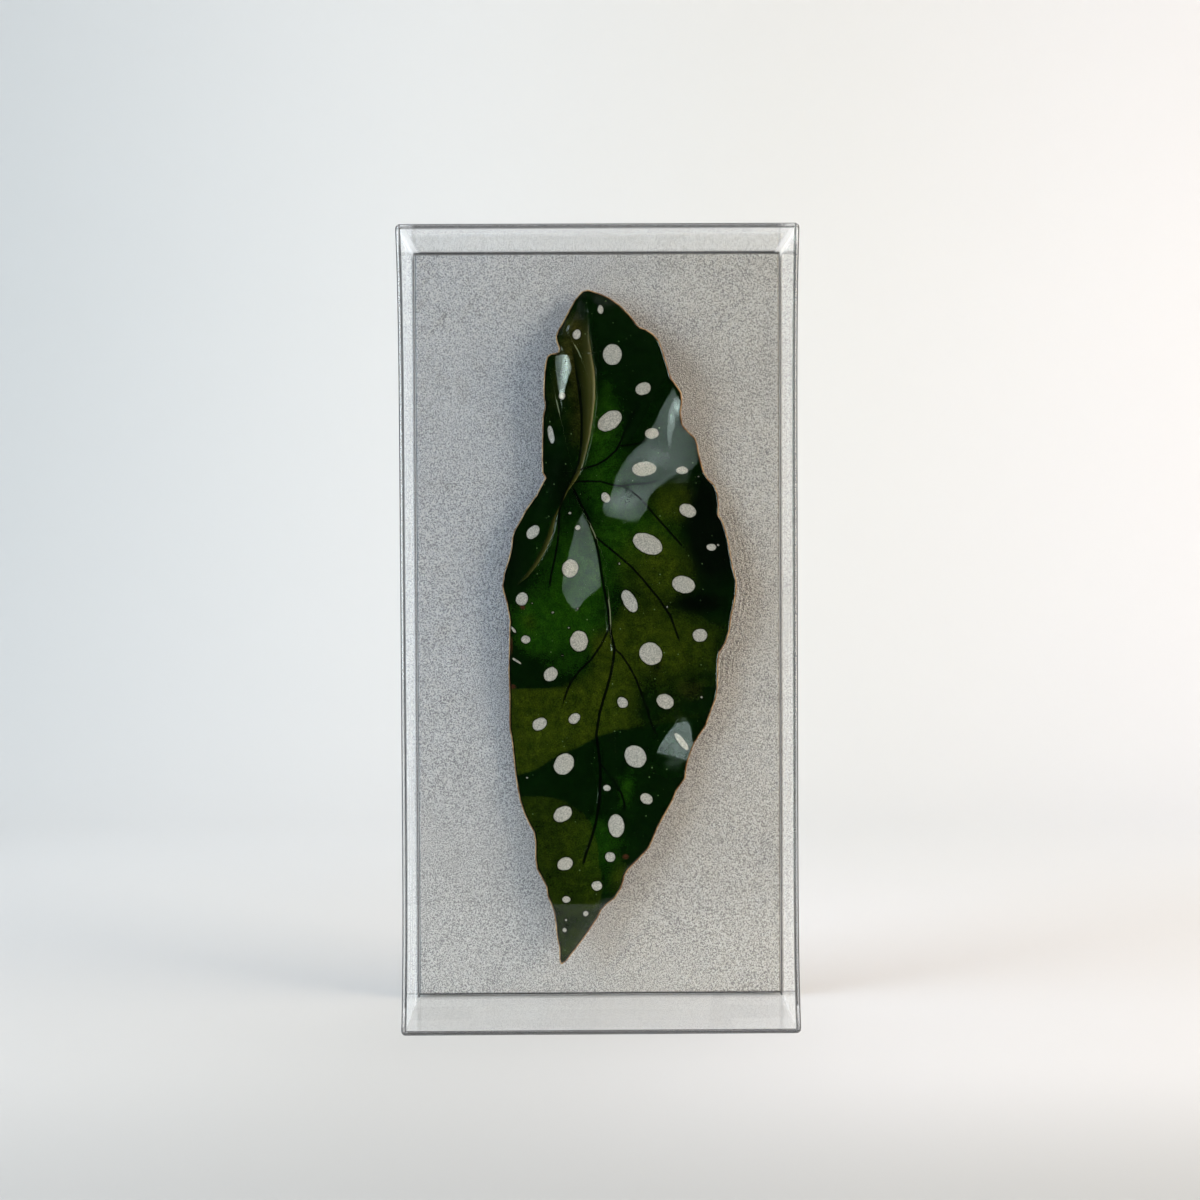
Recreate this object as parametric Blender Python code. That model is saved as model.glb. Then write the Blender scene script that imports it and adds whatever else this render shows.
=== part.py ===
"""Dried, coated begonia leaf in a clear standing case.

A leaf with a glossy coat is glued a few millimetres in front of a grey card.
A clear plastic cover, open at the back, stands on its bottom edge round both.
Metres, +Z up. The front is at -Y, and the origin is the middle of the base.
"""
import math

import bmesh
import bpy
from mathutils import Vector

MM = 0.001

# Case
CASE_WIDTH = 124 * MM
CASE_HEIGHT = 250 * MM
CASE_DEPTH = 48 * MM
WALL = 1.2 * MM
OUTER_EDGE_RADIUS = 1.6 * MM
SIDE_BOW = 0.8 * MM
BOW_STATIONS = 10

# Card, with the play that it has in the case
BOARD_THICKNESS = 3 * MM
FIT_GAP = 0.3 * MM
BOARD_EDGE_RADIUS = 0.3 * MM

# Leaf
LEAF_THICKNESS = 1.2 * MM
LEAF_TURN = math.radians(-0.27)
LEAF_TURN_CENTRE_Z = 125 * MM
LEAF_RAISE = 0.3 * MM
LEAF_ROWS = 88
LEAF_COLUMNS = 18

# Glue
GLUE_RADIUS = 4.0 * MM
GLUE_SIDES = 20
GLUE_PLACES = ((0.0, 188.0), (8.0, 128.0), (-6.0, 70.0))

BOARD_FRONT_Y = CASE_DEPTH / 2 - BOARD_THICKNESS

# The leaf's edge, as (across, up) in millimetres, from its stalk end down to its tip
LEFT_EDGE = (
    (-3.6, 235.7), (-5.3, 235.4), (-7.9, 232.4), (-11.6, 225.5), (-14.2, 220.2),
    (-13.9, 218.2), (-13.0, 216.1), (-13.4, 214.6), (-15.7, 214.4), (-17.0, 213.4),
    (-17.7, 210.3), (-18.2, 200.4), (-17.7, 197.3), (-18.5, 193.5), (-18.8, 179.3),
    (-17.6, 173.7), (-19.1, 171.0), (-22.8, 165.1), (-27.9, 156.5), (-28.9, 150.7),
    (-31.3, 142.3), (-31.9, 138.2), (-31.6, 136.2), (-30.0, 129.8), (-29.4, 126.5),
    (-29.9, 109.7), (-29.6, 99.4), (-29.6, 90.3), (-27.9, 76.8), (-26.2, 66.8),
    (-24.8, 62.5), (-21.6, 56.3), (-21.1, 53.2), (-21.1, 47.5), (-20.6, 44.1),
    (-17.5, 38.4), (-17.0, 35.1), (-14.9, 30.0), (-13.9, 21.5), (-13.1, 17.9),
    (-13.0, 13.8),
)
RIGHT_EDGE = (
    (-3.3, 235.7), (0.3, 234.6), (3.6, 233.1), (7.1, 230.6), (13.5, 223.2),
    (15.5, 222.7), (17.8, 221.2), (19.9, 218.9), (21.2, 215.4), (23.9, 206.3),
    (27.3, 201.6), (27.6, 198.6), (27.1, 195.2), (27.7, 191.2), (32.0, 187.0),
    (33.3, 181.7), (35.0, 175.7), (38.4, 171.6), (39.6, 168.6), (39.9, 165.2),
    (39.7, 161.5), (41.1, 159.5), (43.1, 152.4), (45.6, 139.9), (45.6, 136.5),
    (43.9, 127.5), (43.4, 123.0), (42.1, 119.0), (40.1, 115.9), (39.6, 108.7),
    (39.6, 104.5), (37.7, 97.1), (35.6, 91.3), (32.0, 85.9), (30.6, 82.6),
    (28.8, 74.1), (25.9, 70.1), (22.2, 62.4), (16.8, 51.1), (15.5, 49.6),
    (9.8, 43.8), (8.3, 40.0), (7.4, 37.4), (5.4, 34.3), (1.0, 30.6),
    (-2.4, 24.9), (-7.8, 17.5), (-11.6, 13.8),
)
# The crest of the leaf's long fold, in the same measure
FOLD_CREST = (
    (-4.2, 235.0), (-4.6, 224.7), (-3.6, 209.6), (-3.0, 202.1), (-3.2, 194.5),
    (-4.0, 187.7), (-5.2, 180.1), (-8.6, 171.7), (-12.8, 163.8), (-14.6, 157.5),
    (-17.8, 149.0), (-26.5, 138.5),
)
# The midrib below the fold
MIDRIB = (
    (-8.2, 169.7), (-3.6, 160.8), (0.0, 148.3), (2.1, 135.4), (4.1, 122.2),
    (5.3, 117.2), (4.1, 109.0), (0.3, 95.8), (-0.8, 88.5), (0.6, 74.7),
    (-0.1, 64.1), (-4.3, 48.9), (-9.0, 32.0), (-12.0, 14.0),
)

# How the leaf stands off the card, all to the leaf's back, in millimetres
STAND_OFF = 2.6
FOLD_HEIGHT = 2.2
FOLD_SPREAD = 2.6
TROUGH_DEPTH = 1.3
TROUGH_SHIFT = 6.0
TROUGH_SPREAD = 3.5
MIDRIB_DEPTH = 0.8
MIDRIB_SPREAD = 4.0
WAVE_HEIGHT = 0.9
WAVE_LENGTH = 52.0
EDGE_LIFT = 1.1
TIP_LIFT = 0.8


def clear_scene():
    for thing in list(bpy.data.objects):
        bpy.data.objects.remove(thing, do_unlink=True)


def material(name, colour, roughness, transmission=0.0, coat=0.0):
    made = bpy.data.materials.new(name)
    made.use_nodes = True
    shader = made.node_tree.nodes["Principled BSDF"]
    shader.inputs["Base Color"].default_value = (*colour, 1)
    shader.inputs["Roughness"].default_value = roughness
    shader.inputs["Metallic"].default_value = 0.0
    shader.inputs["Transmission Weight"].default_value = transmission
    shader.inputs["Coat Weight"].default_value = coat
    return made


def add_object(name, bm, finish):
    bmesh.ops.recalc_face_normals(bm, faces=bm.faces)
    mesh = bpy.data.meshes.new(name)
    bm.to_mesh(mesh)
    bm.free()
    mesh.materials.append(finish)
    thing = bpy.data.objects.new(name, mesh)
    bpy.context.collection.objects.link(thing)
    return thing


def across_at(line, up):
    """Where a line that runs down from its first point crosses the height up."""
    for (x0, z0), (x1, z1) in zip(line, line[1:]):
        if z1 <= up <= z0:
            share = (z0 - up) / max(z0 - z1, 1e-6)
            return x0 + (x1 - x0) * share
    return line[0][0] if up > line[0][1] else line[-1][0]


def hump(distance, spread):
    return math.exp(-(distance / spread) ** 2)


def fade(value, low, high):
    """0 at low, 1 at high, smooth between."""
    t = min(max((value - low) / (high - low), 0.0), 1.0)
    return t * t * (3 - 2 * t)


def leaf_back(x, z):
    """Distance from the card to the leaf's back, in millimetres."""
    left = across_at(LEFT_EDGE, z)
    right = across_at(RIGHT_EDGE, z)
    across = (x - left) / max(right - left, 1e-6)
    fold_on = fade(z, 140, 172)
    crest = across_at(FOLD_CREST, z)
    off_fold = x - crest
    height = STAND_OFF
    height += FOLD_HEIGHT * fold_on * hump(off_fold, FOLD_SPREAD)
    height -= TROUGH_DEPTH * fold_on * hump(off_fold + TROUGH_SHIFT, TROUGH_SPREAD)
    off_rib = x - across_at(MIDRIB, z)
    height -= MIDRIB_DEPTH * (1 - fold_on) * hump(off_rib, MIDRIB_SPREAD)
    height += WAVE_HEIGHT * math.sin(2 * math.pi * z / WAVE_LENGTH) * (2 * across - 1)
    height += EDGE_LIFT * (2 * across - 1) ** 4
    height += TIP_LIFT * fade(z, 60, 15)
    return height


def box(bm, low, high):
    bmesh.ops.create_cube(bm, size=1)
    middle = (low + high) / 2
    for vertex in bm.verts:
        vertex.co = Vector([vertex.co[i] * (high - low)[i] + middle[i] for i in range(3)])


def add_bevel(thing, width, segments):
    bevel = thing.modifiers.new("soft edges", "BEVEL")
    bevel.width = width
    bevel.segments = segments
    bevel.limit_method = "ANGLE"
    return bevel


def bow_sides(bm):
    """Sides drawn in a little between the stiff front corners; the card keeps their backs straight."""
    for level in range(1, BOW_STATIONS):
        height = CASE_HEIGHT * level / BOW_STATIONS
        everything = bm.verts[:] + bm.edges[:] + bm.faces[:]
        bmesh.ops.bisect_plane(bm, geom=everything, plane_co=(0, 0, height), plane_no=(0, 0, 1))
    for vertex in bm.verts:
        rise = min(max(vertex.co.z / CASE_HEIGHT, 0.0), 1.0)
        forward = (CASE_DEPTH / 2 - vertex.co.y) / CASE_DEPTH
        drawn_in = SIDE_BOW * forward * (1 - (2 * rise - 1) ** 6)
        vertex.co.x -= math.copysign(drawn_in, vertex.co.x)


def make_clear_cover():
    """One thin-walled piece: front, top, bottom and two sides, open at the back."""
    plastic = material("clear_plastic", (0.96, 0.98, 0.98), 0.04, transmission=1.0)
    half = Vector((CASE_WIDTH / 2, CASE_DEPTH / 2, 0))
    outer = bmesh.new()
    box(outer, Vector((-half.x, -half.y, 0)), Vector((half.x, half.y, CASE_HEIGHT)))
    bow_sides(outer)
    back_edges = [e for e in outer.edges if all(v.co.y > half.y - 1e-6 for v in e.verts)]
    flat = [e for e in outer.edges if e.calc_face_angle(0) < math.radians(30)]
    rounded = [e for e in outer.edges if e not in back_edges and e not in flat]
    bmesh.ops.bevel(
        outer, geom=rounded, offset=OUTER_EDGE_RADIUS, segments=3, profile=0.5, affect="EDGES"
    )
    cover = add_object("clear_cover", outer, plastic)

    inner = bmesh.new()
    overshoot = 10 * MM
    low = Vector((-half.x + WALL, -half.y + WALL, WALL))
    high = Vector((half.x - WALL, half.y + overshoot, CASE_HEIGHT - WALL))
    box(inner, low, high)
    bow_sides(inner)
    cutter = add_object("cover_hollow", inner, plastic)
    cutter.hide_render = True
    cutter.display_type = "WIRE"

    cut = cover.modifiers.new("hollow", "BOOLEAN")
    cut.operation = "DIFFERENCE"
    cut.solver = "EXACT"
    cut.object = cutter
    return cover


def make_backing_board():
    """Grey textured card, the width of the case's inside, flush with its back rim."""
    card = material("grey_card", (0.42, 0.42, 0.41), 0.9)
    drawn_in = SIDE_BOW * BOARD_THICKNESS / CASE_DEPTH
    reach = CASE_WIDTH / 2 - WALL - FIT_GAP - drawn_in
    low = Vector((-reach, BOARD_FRONT_Y, WALL + FIT_GAP))
    high = Vector((reach, CASE_DEPTH / 2, CASE_HEIGHT - WALL - FIT_GAP))
    bm = bmesh.new()
    box(bm, low, high)
    board = add_object("backing_board", bm, card)
    add_bevel(board, BOARD_EDGE_RADIUS, 1)
    return board


def leaf_point(x, z, off_card):
    """A point of the leaf in the case, from its own flat measure and its height off the card."""
    across = x * MM
    up = z * MM - LEAF_TURN_CENTRE_Z
    turned_x = math.cos(LEAF_TURN) * across - math.sin(LEAF_TURN) * up
    turned_z = math.sin(LEAF_TURN) * across + math.cos(LEAF_TURN) * up
    height = LEAF_TURN_CENTRE_Z + turned_z + LEAF_RAISE
    return Vector((turned_x, BOARD_FRONT_Y - off_card * MM, height))


def make_leaf():
    """The leaf: rows of points from edge to edge, a front and a back, closed round the edge."""
    coated_leaf = material("coated_leaf", (0.008, 0.03, 0.006), 0.2, coat=1.0)
    top = LEFT_EDGE[0][1]
    bottom = LEFT_EDGE[-1][1]
    bm = bmesh.new()
    fronts = []
    backs = []
    for row in range(LEAF_ROWS + 1):
        z = top + (bottom - top) * row / LEAF_ROWS
        left = across_at(LEFT_EDGE, z)
        right = across_at(RIGHT_EDGE, z)
        front = []
        back = []
        for column in range(LEAF_COLUMNS + 1):
            x = left + (right - left) * column / LEAF_COLUMNS
            off_card = leaf_back(x, z)
            back.append(bm.verts.new(leaf_point(x, z, off_card)))
            front.append(bm.verts.new(leaf_point(x, z, off_card + LEAF_THICKNESS / MM)))
        fronts.append(front)
        backs.append(back)
    for row in range(LEAF_ROWS):
        for column in range(LEAF_COLUMNS):
            for sheet in (fronts, backs):
                corners = (
                    sheet[row][column],
                    sheet[row + 1][column],
                    sheet[row + 1][column + 1],
                    sheet[row][column + 1],
                )
                bm.faces.new(corners)
        for side in (0, -1):
            corners = (
                fronts[row][side],
                backs[row][side],
                backs[row + 1][side],
                fronts[row + 1][side],
            )
            bm.faces.new(corners)
    for end in (0, -1):
        for column in range(LEAF_COLUMNS):
            corners = (
                fronts[end][column],
                fronts[end][column + 1],
                backs[end][column + 1],
                backs[end][column],
            )
            bm.faces.new(corners)
    leaf = add_object("leaf", bm, coated_leaf)
    leaf.data.shade_smooth()
    return leaf


def lowest_back_over(x, z):
    """The leaf's least height off the card over one glue dot, in millimetres."""
    reach = GLUE_RADIUS / MM
    steps = range(-4, 5)
    return min(leaf_back(x + reach * i / 4, z + reach * j / 4) for i in steps for j in steps)


def make_glue_dot(number, x, z, glue):
    """A small round pad that fills the space between the card and the leaf's back."""
    gap = FIT_GAP / MM
    thickness = (lowest_back_over(x, z) - 2 * gap) * MM
    bm = bmesh.new()
    bmesh.ops.create_cone(
        bm,
        cap_ends=True,
        segments=GLUE_SIDES,
        radius1=GLUE_RADIUS,
        radius2=GLUE_RADIUS * 0.86,
        depth=thickness,
    )
    dot = add_object(f"glue_dot_{number}", bm, glue)
    dot.location = leaf_point(x, z, gap + thickness / MM / 2)
    dot.rotation_euler = (math.pi / 2, 0, 0)
    dot.data.shade_smooth()
    dot.data.set_sharp_from_angle(angle=math.radians(40))
    return dot


def main():
    clear_scene()
    make_clear_cover()
    make_backing_board()
    make_leaf()
    glue = material("dried_glue", (0.75, 0.7, 0.55), 0.35)
    for number, (x, z) in enumerate(GLUE_PLACES, start=1):
        make_glue_dot(number, x, z, glue)


main()
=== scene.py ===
# %% [markdown]
# A dried leaf in a clear case, step by step.
#
# The object is a spotted begonia leaf with a hard glossy coat. It is glued a few
# millimetres in front of a grey textured card, inside a thin clear plastic case that
# stands upright. This lesson dresses the plain solids of that object: it gives every
# piece its fine shape and its finish, and it lights them as a small studio would.
#
# We start by loading the solids. They fix where everything is: the case, the card, the
# leaf and the glue. Everything below is fitted to them, in metres, with +Z up and the
# front of the case at -Y.

# %% Load the solids
import math

import bmesh
import bpy
import numpy as np
from mathutils import Euler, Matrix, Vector


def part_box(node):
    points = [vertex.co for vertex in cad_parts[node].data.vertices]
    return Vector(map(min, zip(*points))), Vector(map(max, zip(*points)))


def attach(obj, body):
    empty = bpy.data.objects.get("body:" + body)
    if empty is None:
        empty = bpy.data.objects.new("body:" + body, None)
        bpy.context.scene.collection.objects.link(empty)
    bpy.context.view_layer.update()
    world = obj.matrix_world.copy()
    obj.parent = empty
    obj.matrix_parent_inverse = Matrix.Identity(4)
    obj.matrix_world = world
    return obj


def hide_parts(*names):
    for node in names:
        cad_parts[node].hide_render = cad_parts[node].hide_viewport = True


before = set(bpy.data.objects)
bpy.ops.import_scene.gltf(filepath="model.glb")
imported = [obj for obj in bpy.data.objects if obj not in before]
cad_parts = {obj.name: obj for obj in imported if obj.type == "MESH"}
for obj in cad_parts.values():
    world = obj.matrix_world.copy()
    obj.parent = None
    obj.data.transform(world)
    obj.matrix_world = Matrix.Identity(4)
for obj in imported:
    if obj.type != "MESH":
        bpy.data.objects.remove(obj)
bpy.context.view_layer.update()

# %% [markdown]
# Sizes. Small plant detail is easiest to think of in millimetres, so lengths are written
# as a number times MM. The case and the card are read from the solids, because those
# already have the real sizes: if the solids change, this script follows.

# %% Sizes shared by the pieces
MM = 0.001
cover_low, cover_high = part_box("clear_cover")
board_low, board_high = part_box("backing_board")
CASE_MIDDLE = (cover_low + cover_high) / 2
CASE_SIZE = cover_high - cover_low
BOARD_FRONT_Y = board_low.y
WALL = 1.2 * MM
print("case", [round(v / MM, 1) for v in CASE_SIZE], "mm; card front at y", round(BOARD_FRONT_Y / MM, 1))

# %% [markdown]
# Objects and stored numbers. Every camera, light and mesh becomes an object in the same
# way: it is made round its data and linked to the scene. And whatever a finish has to
# know about a place on a mesh, such as how far it is from an edge, is worked out once and
# stored there as an attribute, which is both quicker and sharper than a painted picture.


# %% Helpers for objects and stored numbers
def add_object(name, data):
    """An object made round a camera, a light or a mesh, and put into the scene."""
    made = bpy.data.objects.new(name, data)
    bpy.context.collection.objects.link(made)
    return made


def store(piece, name, numbers):
    """Keeps one number for every point of a mesh, for its finish to read."""
    layer = piece.data.attributes.new(name, "FLOAT", "POINT")
    layer.data.foreach_set("value", numbers)


print("object helpers ready")

# %% [markdown]
# The camera. The photograph looks straight at the front of the case from about half a
# metre, a little above its middle and tipped down slightly. A camera in Blender looks
# along its own -Z, so a turn of 90 degrees about X first makes it look along +Y. The
# small turns about the other axes are what a hand-held camera has.

# %% Camera
CAMERA_PLACE = Vector((-3.3, -548.7, 146.8)) * MM
CAMERA_TIP, CAMERA_PAN, CAMERA_ROLL = -1.33, -0.385, 0.28
FOCAL_LENGTH, SENSOR = 51.27, 36


def add_camera():
    lens = bpy.data.cameras.new("camera")
    lens.sensor_width = SENSOR
    lens.lens = FOCAL_LENGTH
    lens.dof.use_dof = False
    camera = add_object("camera", lens)
    camera.location = CAMERA_PLACE
    turn = Euler((math.radians(90 + CAMERA_TIP), 0, 0)).to_matrix()
    pan = Euler((0, 0, math.radians(CAMERA_PAN))).to_matrix()
    roll = Euler((0, 0, -math.radians(CAMERA_ROLL))).to_matrix()
    camera.rotation_euler = (pan @ turn @ roll).to_euler()
    bpy.context.scene.camera = camera
    return camera


camera = add_camera()
print("camera at", [round(v, 4) for v in camera.location])

# %% [markdown]
# Writing shaders as sums. A material in Blender is a graph of nodes, and a graph is hard
# to read as code. So a small class wraps one socket of the graph and overloads the
# arithmetic signs: `1 - mask * 0.5` adds the two Math nodes and their links. Everything
# that isn't arithmetic on plain numbers, such as a texture or a colour mix, comes from
# one method, `node`, which takes the node's type, its settings and its inputs.


# %% A socket that can be added and multiplied
class Wire:
    """One output socket in a material's node tree. Arithmetic on it adds Math nodes."""

    def __init__(self, tree, socket=None):
        self.tree = tree
        self.socket = socket

    def node(self, kind, settings=None, inputs=None, output=0):
        """Adds any node: its settings first, then its inputs, values or other wires."""
        made = self.tree.nodes.new("ShaderNode" + kind)
        for name, value in (settings or {}).items():
            if name == "stops":
                self.set_stops(made.color_ramp, value)
            else:
                setattr(made, name, value)
        for name, value in (inputs or {}).items():
            if isinstance(value, Wire):
                self.tree.links.new(value.socket, made.inputs[name])
            else:
                made.inputs[name].default_value = value
        return Wire(self.tree, made.outputs[output])

    @staticmethod
    def set_stops(ramp, stops):
        while len(ramp.elements) < len(stops):
            ramp.elements.new(0.5)
        for element, (place, colour) in zip(ramp.elements, stops):
            element.position = place
            element.color = (*colour, 1)

    def math(self, operation, *values):
        return self.node("Math", {"operation": operation}, dict(enumerate(values)))

    def __add__(self, other):
        return self.math("ADD", self, other)

    def __radd__(self, other):
        return self.math("ADD", other, self)

    def __sub__(self, other):
        return self.math("SUBTRACT", self, other)

    def __rsub__(self, other):
        return self.math("SUBTRACT", other, self)

    def __mul__(self, other):
        return self.math("MULTIPLY", self, other)

    def __rmul__(self, other):
        return self.math("MULTIPLY", other, self)

    def __truediv__(self, other):
        return self.math("DIVIDE", self, other)

    def __abs__(self):
        return self.math("ABSOLUTE", self)

    def most(self, other):
        """The larger of two masks, so that marks that overlap don't add up."""
        return self.math("MAXIMUM", self, other)

    def rise(self, low, high):
        """0 below low and 1 above high, with a smooth step between them."""
        settings = {"interpolation_type": "SMOOTHSTEP"}
        inputs = {"Value": self, "From Min": low, "From Max": high}
        return self.node("MapRange", settings, inputs)

    def fall(self, low, high):
        """1 below low and 0 above high."""
        return 1 - self.rise(low, high)

    def blend(self, first, second):
        """The first colour where this mask is 0, the second where it is 1."""
        return self.node("Mix", {"data_type": "RGBA"}, {0: self, 6: first, 7: second}, output=2)

    def shaded(self, factor):
        """This colour made darker or lighter by a factor."""
        return self.node("VectorMath", {"operation": "SCALE"}, {0: self, "Scale": factor})


print("sockets can be added and multiplied")

# %% [markdown]
# A finish. Each material here is one Principled shader whose sockets are fed by such
# sums. A finish also knows three sources that the sums start from: cloudy noise of a
# given real size, the place of a point, and the numbers stored on the mesh.


# %% A finish
def colour(red, green, blue):
    """A colour as picked on a screen, 0 to 255, turned into the linear light that shaders use."""
    shares = (value / 255 for value in (red, green, blue))
    linear = [s / 12.92 if s <= 0.04045 else ((s + 0.055) / 1.055) ** 2.4 for s in shares]
    return (*linear, 1)


class Finish:
    """A material with one Principled shader, and the wires that feed it."""

    def __init__(self, name, **constants):
        self.material = bpy.data.materials.new(name)
        self.material.use_nodes = True
        tree = self.material.node_tree
        self.start = Wire(tree)
        self.shader = tree.nodes["Principled BSDF"]
        for words, value in constants.items():
            self.shader.inputs[words.replace("_", " ")].default_value = value
        self.place = self.start.node("TexCoord", output=3)
        self.principled = Wire(tree, self.shader.outputs[0])
        self.surface = tree.nodes["Material Output"].inputs["Surface"]

    def feed(self, name, wire):
        self.material.node_tree.links.new(wire.socket, self.shader.inputs[name])

    def along(self, axis):
        """Where a point is on its object: 0 is across, 1 is back and 2 is up, in metres."""
        return self.start.node("SeparateXYZ", inputs={"Vector": self.place}, output=axis)

    def noise(self, size, detail=2.0, roughness=0.5, stretch=None, shift=(0, 0, 0)):
        """Cloudy noise whose blobs are about size metres across, from 0 to 1."""
        place = self.place
        if stretch is not None or any(shift):
            inputs = {"Vector": place, "Scale": stretch or (1, 1, 1), "Location": shift}
            place = self.start.node("Mapping", inputs=inputs)
        inputs = {"Vector": place, "Scale": 1 / size, "Detail": detail, "Roughness": roughness}
        return self.start.node("TexNoise", inputs=inputs)

    def measure(self, name):
        """A number stored at every point of the mesh, such as a distance."""
        return self.start.node("Attribute", {"attribute_name": name}, output=2)

    def bump(self, height, distance, strength=1.0):
        inputs = {"Height": height, "Distance": distance, "Strength": strength}
        return self.start.node("Bump", inputs=inputs)


print("shader helpers ready")

# %% [markdown]
# The stage. A pale floor runs back and curves up into a pale wall, so that no line shows
# behind the case. The floor ends about 20 cm in front of the case, as a table does: the
# clear front mirrors the table, and its edge shows as a faint level line low down.


# %% Floor and wall
FLOOR_FRONT_Y = -0.2255
FLOOR_BACK_Y = 0.75
SWEEP_RADIUS = 0.35
STAGE_HALF_WIDTH = 2.2
STAGE_TOP = 2.0
SWEEP_STEPS = 24
# Places across where the floor's front edge bends, and how far it comes forward there
EDGE_BENDS = (-STAGE_HALF_WIDTH, 0.01, 0.08, STAGE_HALF_WIDTH)
EDGE_SLANT = (0, 0, 0.024, 0.2)


def make_pale_stage():
    finish = Finish("pale_stage", Roughness=0.85)
    clouds = finish.noise(0.25, detail=3.0)
    across, back = finish.along(0), finish.along(1)
    # painted light: the table lighter on the right and darker on the left, as the light falls
    painted_lit_side = (across + clouds * 0.04).rise(-0.06, 0.12)
    table = painted_lit_side.blend(colour(220, 218, 216), colour(237, 235, 236))
    # painted shade: the table darker towards its front edge
    near_table = clouds.blend(colour(199, 198, 197), colour(204, 203, 202))
    table = back.rise(-0.19, -0.05).blend(near_table, table)
    # painted light: the wall darker on the far left and lighter, bluish, on the right
    wall = across.rise(-0.62, -0.05).blend(colour(203, 203, 202), colour(235, 235, 235))
    wall = across.rise(0.1, 0.5).blend(wall, colour(239, 240, 246))
    finish.feed("Base Color", back.rise(0.02, 0.4).blend(table, wall))
    return finish.material


def add_stage():
    profile = [(FLOOR_FRONT_Y, 0.0)]
    turn_y = FLOOR_BACK_Y - SWEEP_RADIUS
    for step in range(SWEEP_STEPS + 1):
        angle = math.pi / 2 * step / SWEEP_STEPS
        y = turn_y + SWEEP_RADIUS * math.sin(angle)
        profile.append((y, SWEEP_RADIUS * (1 - math.cos(angle))))
    profile.append((FLOOR_BACK_Y, STAGE_TOP))
    bm = bmesh.new()
    rows = [[bm.verts.new((x, y, z)) for x in EDGE_BENDS] for y, z in profile]
    for vertex, forward in zip(rows[0], EDGE_SLANT):
        vertex.co.y -= forward
    for row, after in zip(rows, rows[1:]):
        for i in range(len(EDGE_BENDS) - 1):
            bm.faces.new((row[i], row[i + 1], after[i + 1], after[i])).smooth = True
    mesh = bpy.data.meshes.new("studio_sweep")
    bm.to_mesh(mesh)
    bm.free()
    mesh.materials.append(make_pale_stage())
    sweep = add_object("studio_sweep", mesh)


add_stage()
print("stage from y", FLOOR_FRONT_Y, "to", FLOOR_BACK_Y)

# %% [markdown]
# The light. Large soft lights stand on both sides: cool on the left, warm on the right,
# so that the leaf throws a warm soft shadow to one side and a bluish one to the other. A
# wide one overhead fills in from above. Area lights are used because a large source close
# by is what makes soft shadows, in Blender as in a studio.


# %% Lights
LOOK_AT = Vector((0, 0, 0.13))
# name: place, width and height in metres, brightness, colour
LIGHTS = {
    "left_cool": ((-1.15, -0.32, 0.50), 0.8, 1.0, 6.3, (0.70, 0.86, 1.0)),
    "right_warm": ((1.15, -0.32, 0.45), 0.8, 1.0, 6.0, (1.0, 0.86, 0.66)),
    "overhead": ((0.0, -0.15, 1.7), 1.8, 1.2, 1.75, (1.0, 0.99, 1.0)),
}


def add_light(name, place, width, height, brightness, tint):
    lamp = bpy.data.lights.new(name, "AREA")
    lamp.shape = "RECTANGLE"
    lamp.size = width
    lamp.size_y = height
    lamp.energy = brightness * math.pi * width * height
    lamp.color = tint
    light = add_object(name, lamp)
    light.location = place
    light.rotation_euler = (LOOK_AT - Vector(place)).to_track_quat("-Z", "Y").to_euler()
    return light


for name, (place, width, height, brightness, tint) in LIGHTS.items():
    add_light(name, place, width, height, brightness, tint)
print(len(LIGHTS), "lights")

# %% [markdown]
# The window. The pale patches on the real leaf are a window, mirrored in its coat. So a
# tall glowing pane stands behind the camera, to its right. It lights nothing and the
# camera doesn't see it: only a glossy surface that is turned towards it does.


# %% Window
WINDOW_PLACE = Vector((0.43, -1.05, 0.32))
WINDOW_WIDTH, WINDOW_HEIGHT = 0.32, 1.0
# Colours here are light, not paint, so they may be far above 1
WINDOW_LEFT, WINDOW_RIGHT = (8.2, 10.6, 9.8, 1), (9.6, 12.0, 11.2, 1)


def add_window():
    """A tall pane of pale teal daylight, a little brighter to the right."""
    glow = Finish("window_glow", Base_Color=(0, 0, 0, 1), Specular_IOR_Level=0.0, Emission_Strength=1.0)
    share = glow.along(0) / WINDOW_WIDTH + 0.5
    glow.feed("Emission Color", share.rise(0.0, 1.0).blend(WINDOW_LEFT, WINDOW_RIGHT))
    mesh = bpy.data.meshes.new("tall_window")
    x, y = WINDOW_WIDTH / 2, WINDOW_HEIGHT / 2
    mesh.from_pydata([(-x, -y, 0), (x, -y, 0), (x, y, 0), (-x, y, 0)], [], [(0, 1, 2, 3)])
    mesh.materials.append(glow.material)
    window = add_object("tall_window", mesh)
    window.location = WINDOW_PLACE
    window.rotation_euler = (LOOK_AT - WINDOW_PLACE).to_track_quat("Z", "Y").to_euler()
    window.visible_camera = False
    window.visible_diffuse = False
    return window


window = add_window()
print("window", WINDOW_WIDTH, "by", WINDOW_HEIGHT, "m at", [round(v, 2) for v in window.location])

# %% [markdown]
# The room. Light comes from all round as well, but the room behind the camera is dark,
# because that is what the dark parts of the leaf mirror. What the camera sees directly is
# pale everywhere, in case it looks past the stage.


# %% Room
ROOM_BEHIND_CAMERA, ROOM_PALE = (0.012, 0.014, 0.013, 1), (0.78, 0.79, 0.79, 1)
ROOM_STRENGTH = 0.6


def set_world():
    """Pale all round, but dark towards the room in front, which the glossy leaf mirrors."""
    world = bpy.data.worlds.new("room")
    world.use_nodes = True
    bpy.context.scene.world = world
    start = Wire(world.node_tree)
    background = world.node_tree.nodes["Background"]
    direction = start.node("TexCoord", output=0)
    forward = start.node("SeparateXYZ", inputs={"Vector": direction}, output=1)
    seen = start.node("LightPath", output=0)
    pale = forward.rise(-0.1, 0.5).most(seen)
    light = pale.blend(ROOM_BEHIND_CAMERA, ROOM_PALE)
    world.node_tree.links.new(light.socket, background.inputs["Color"])
    background.inputs["Strength"].default_value = ROOM_STRENGTH


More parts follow.
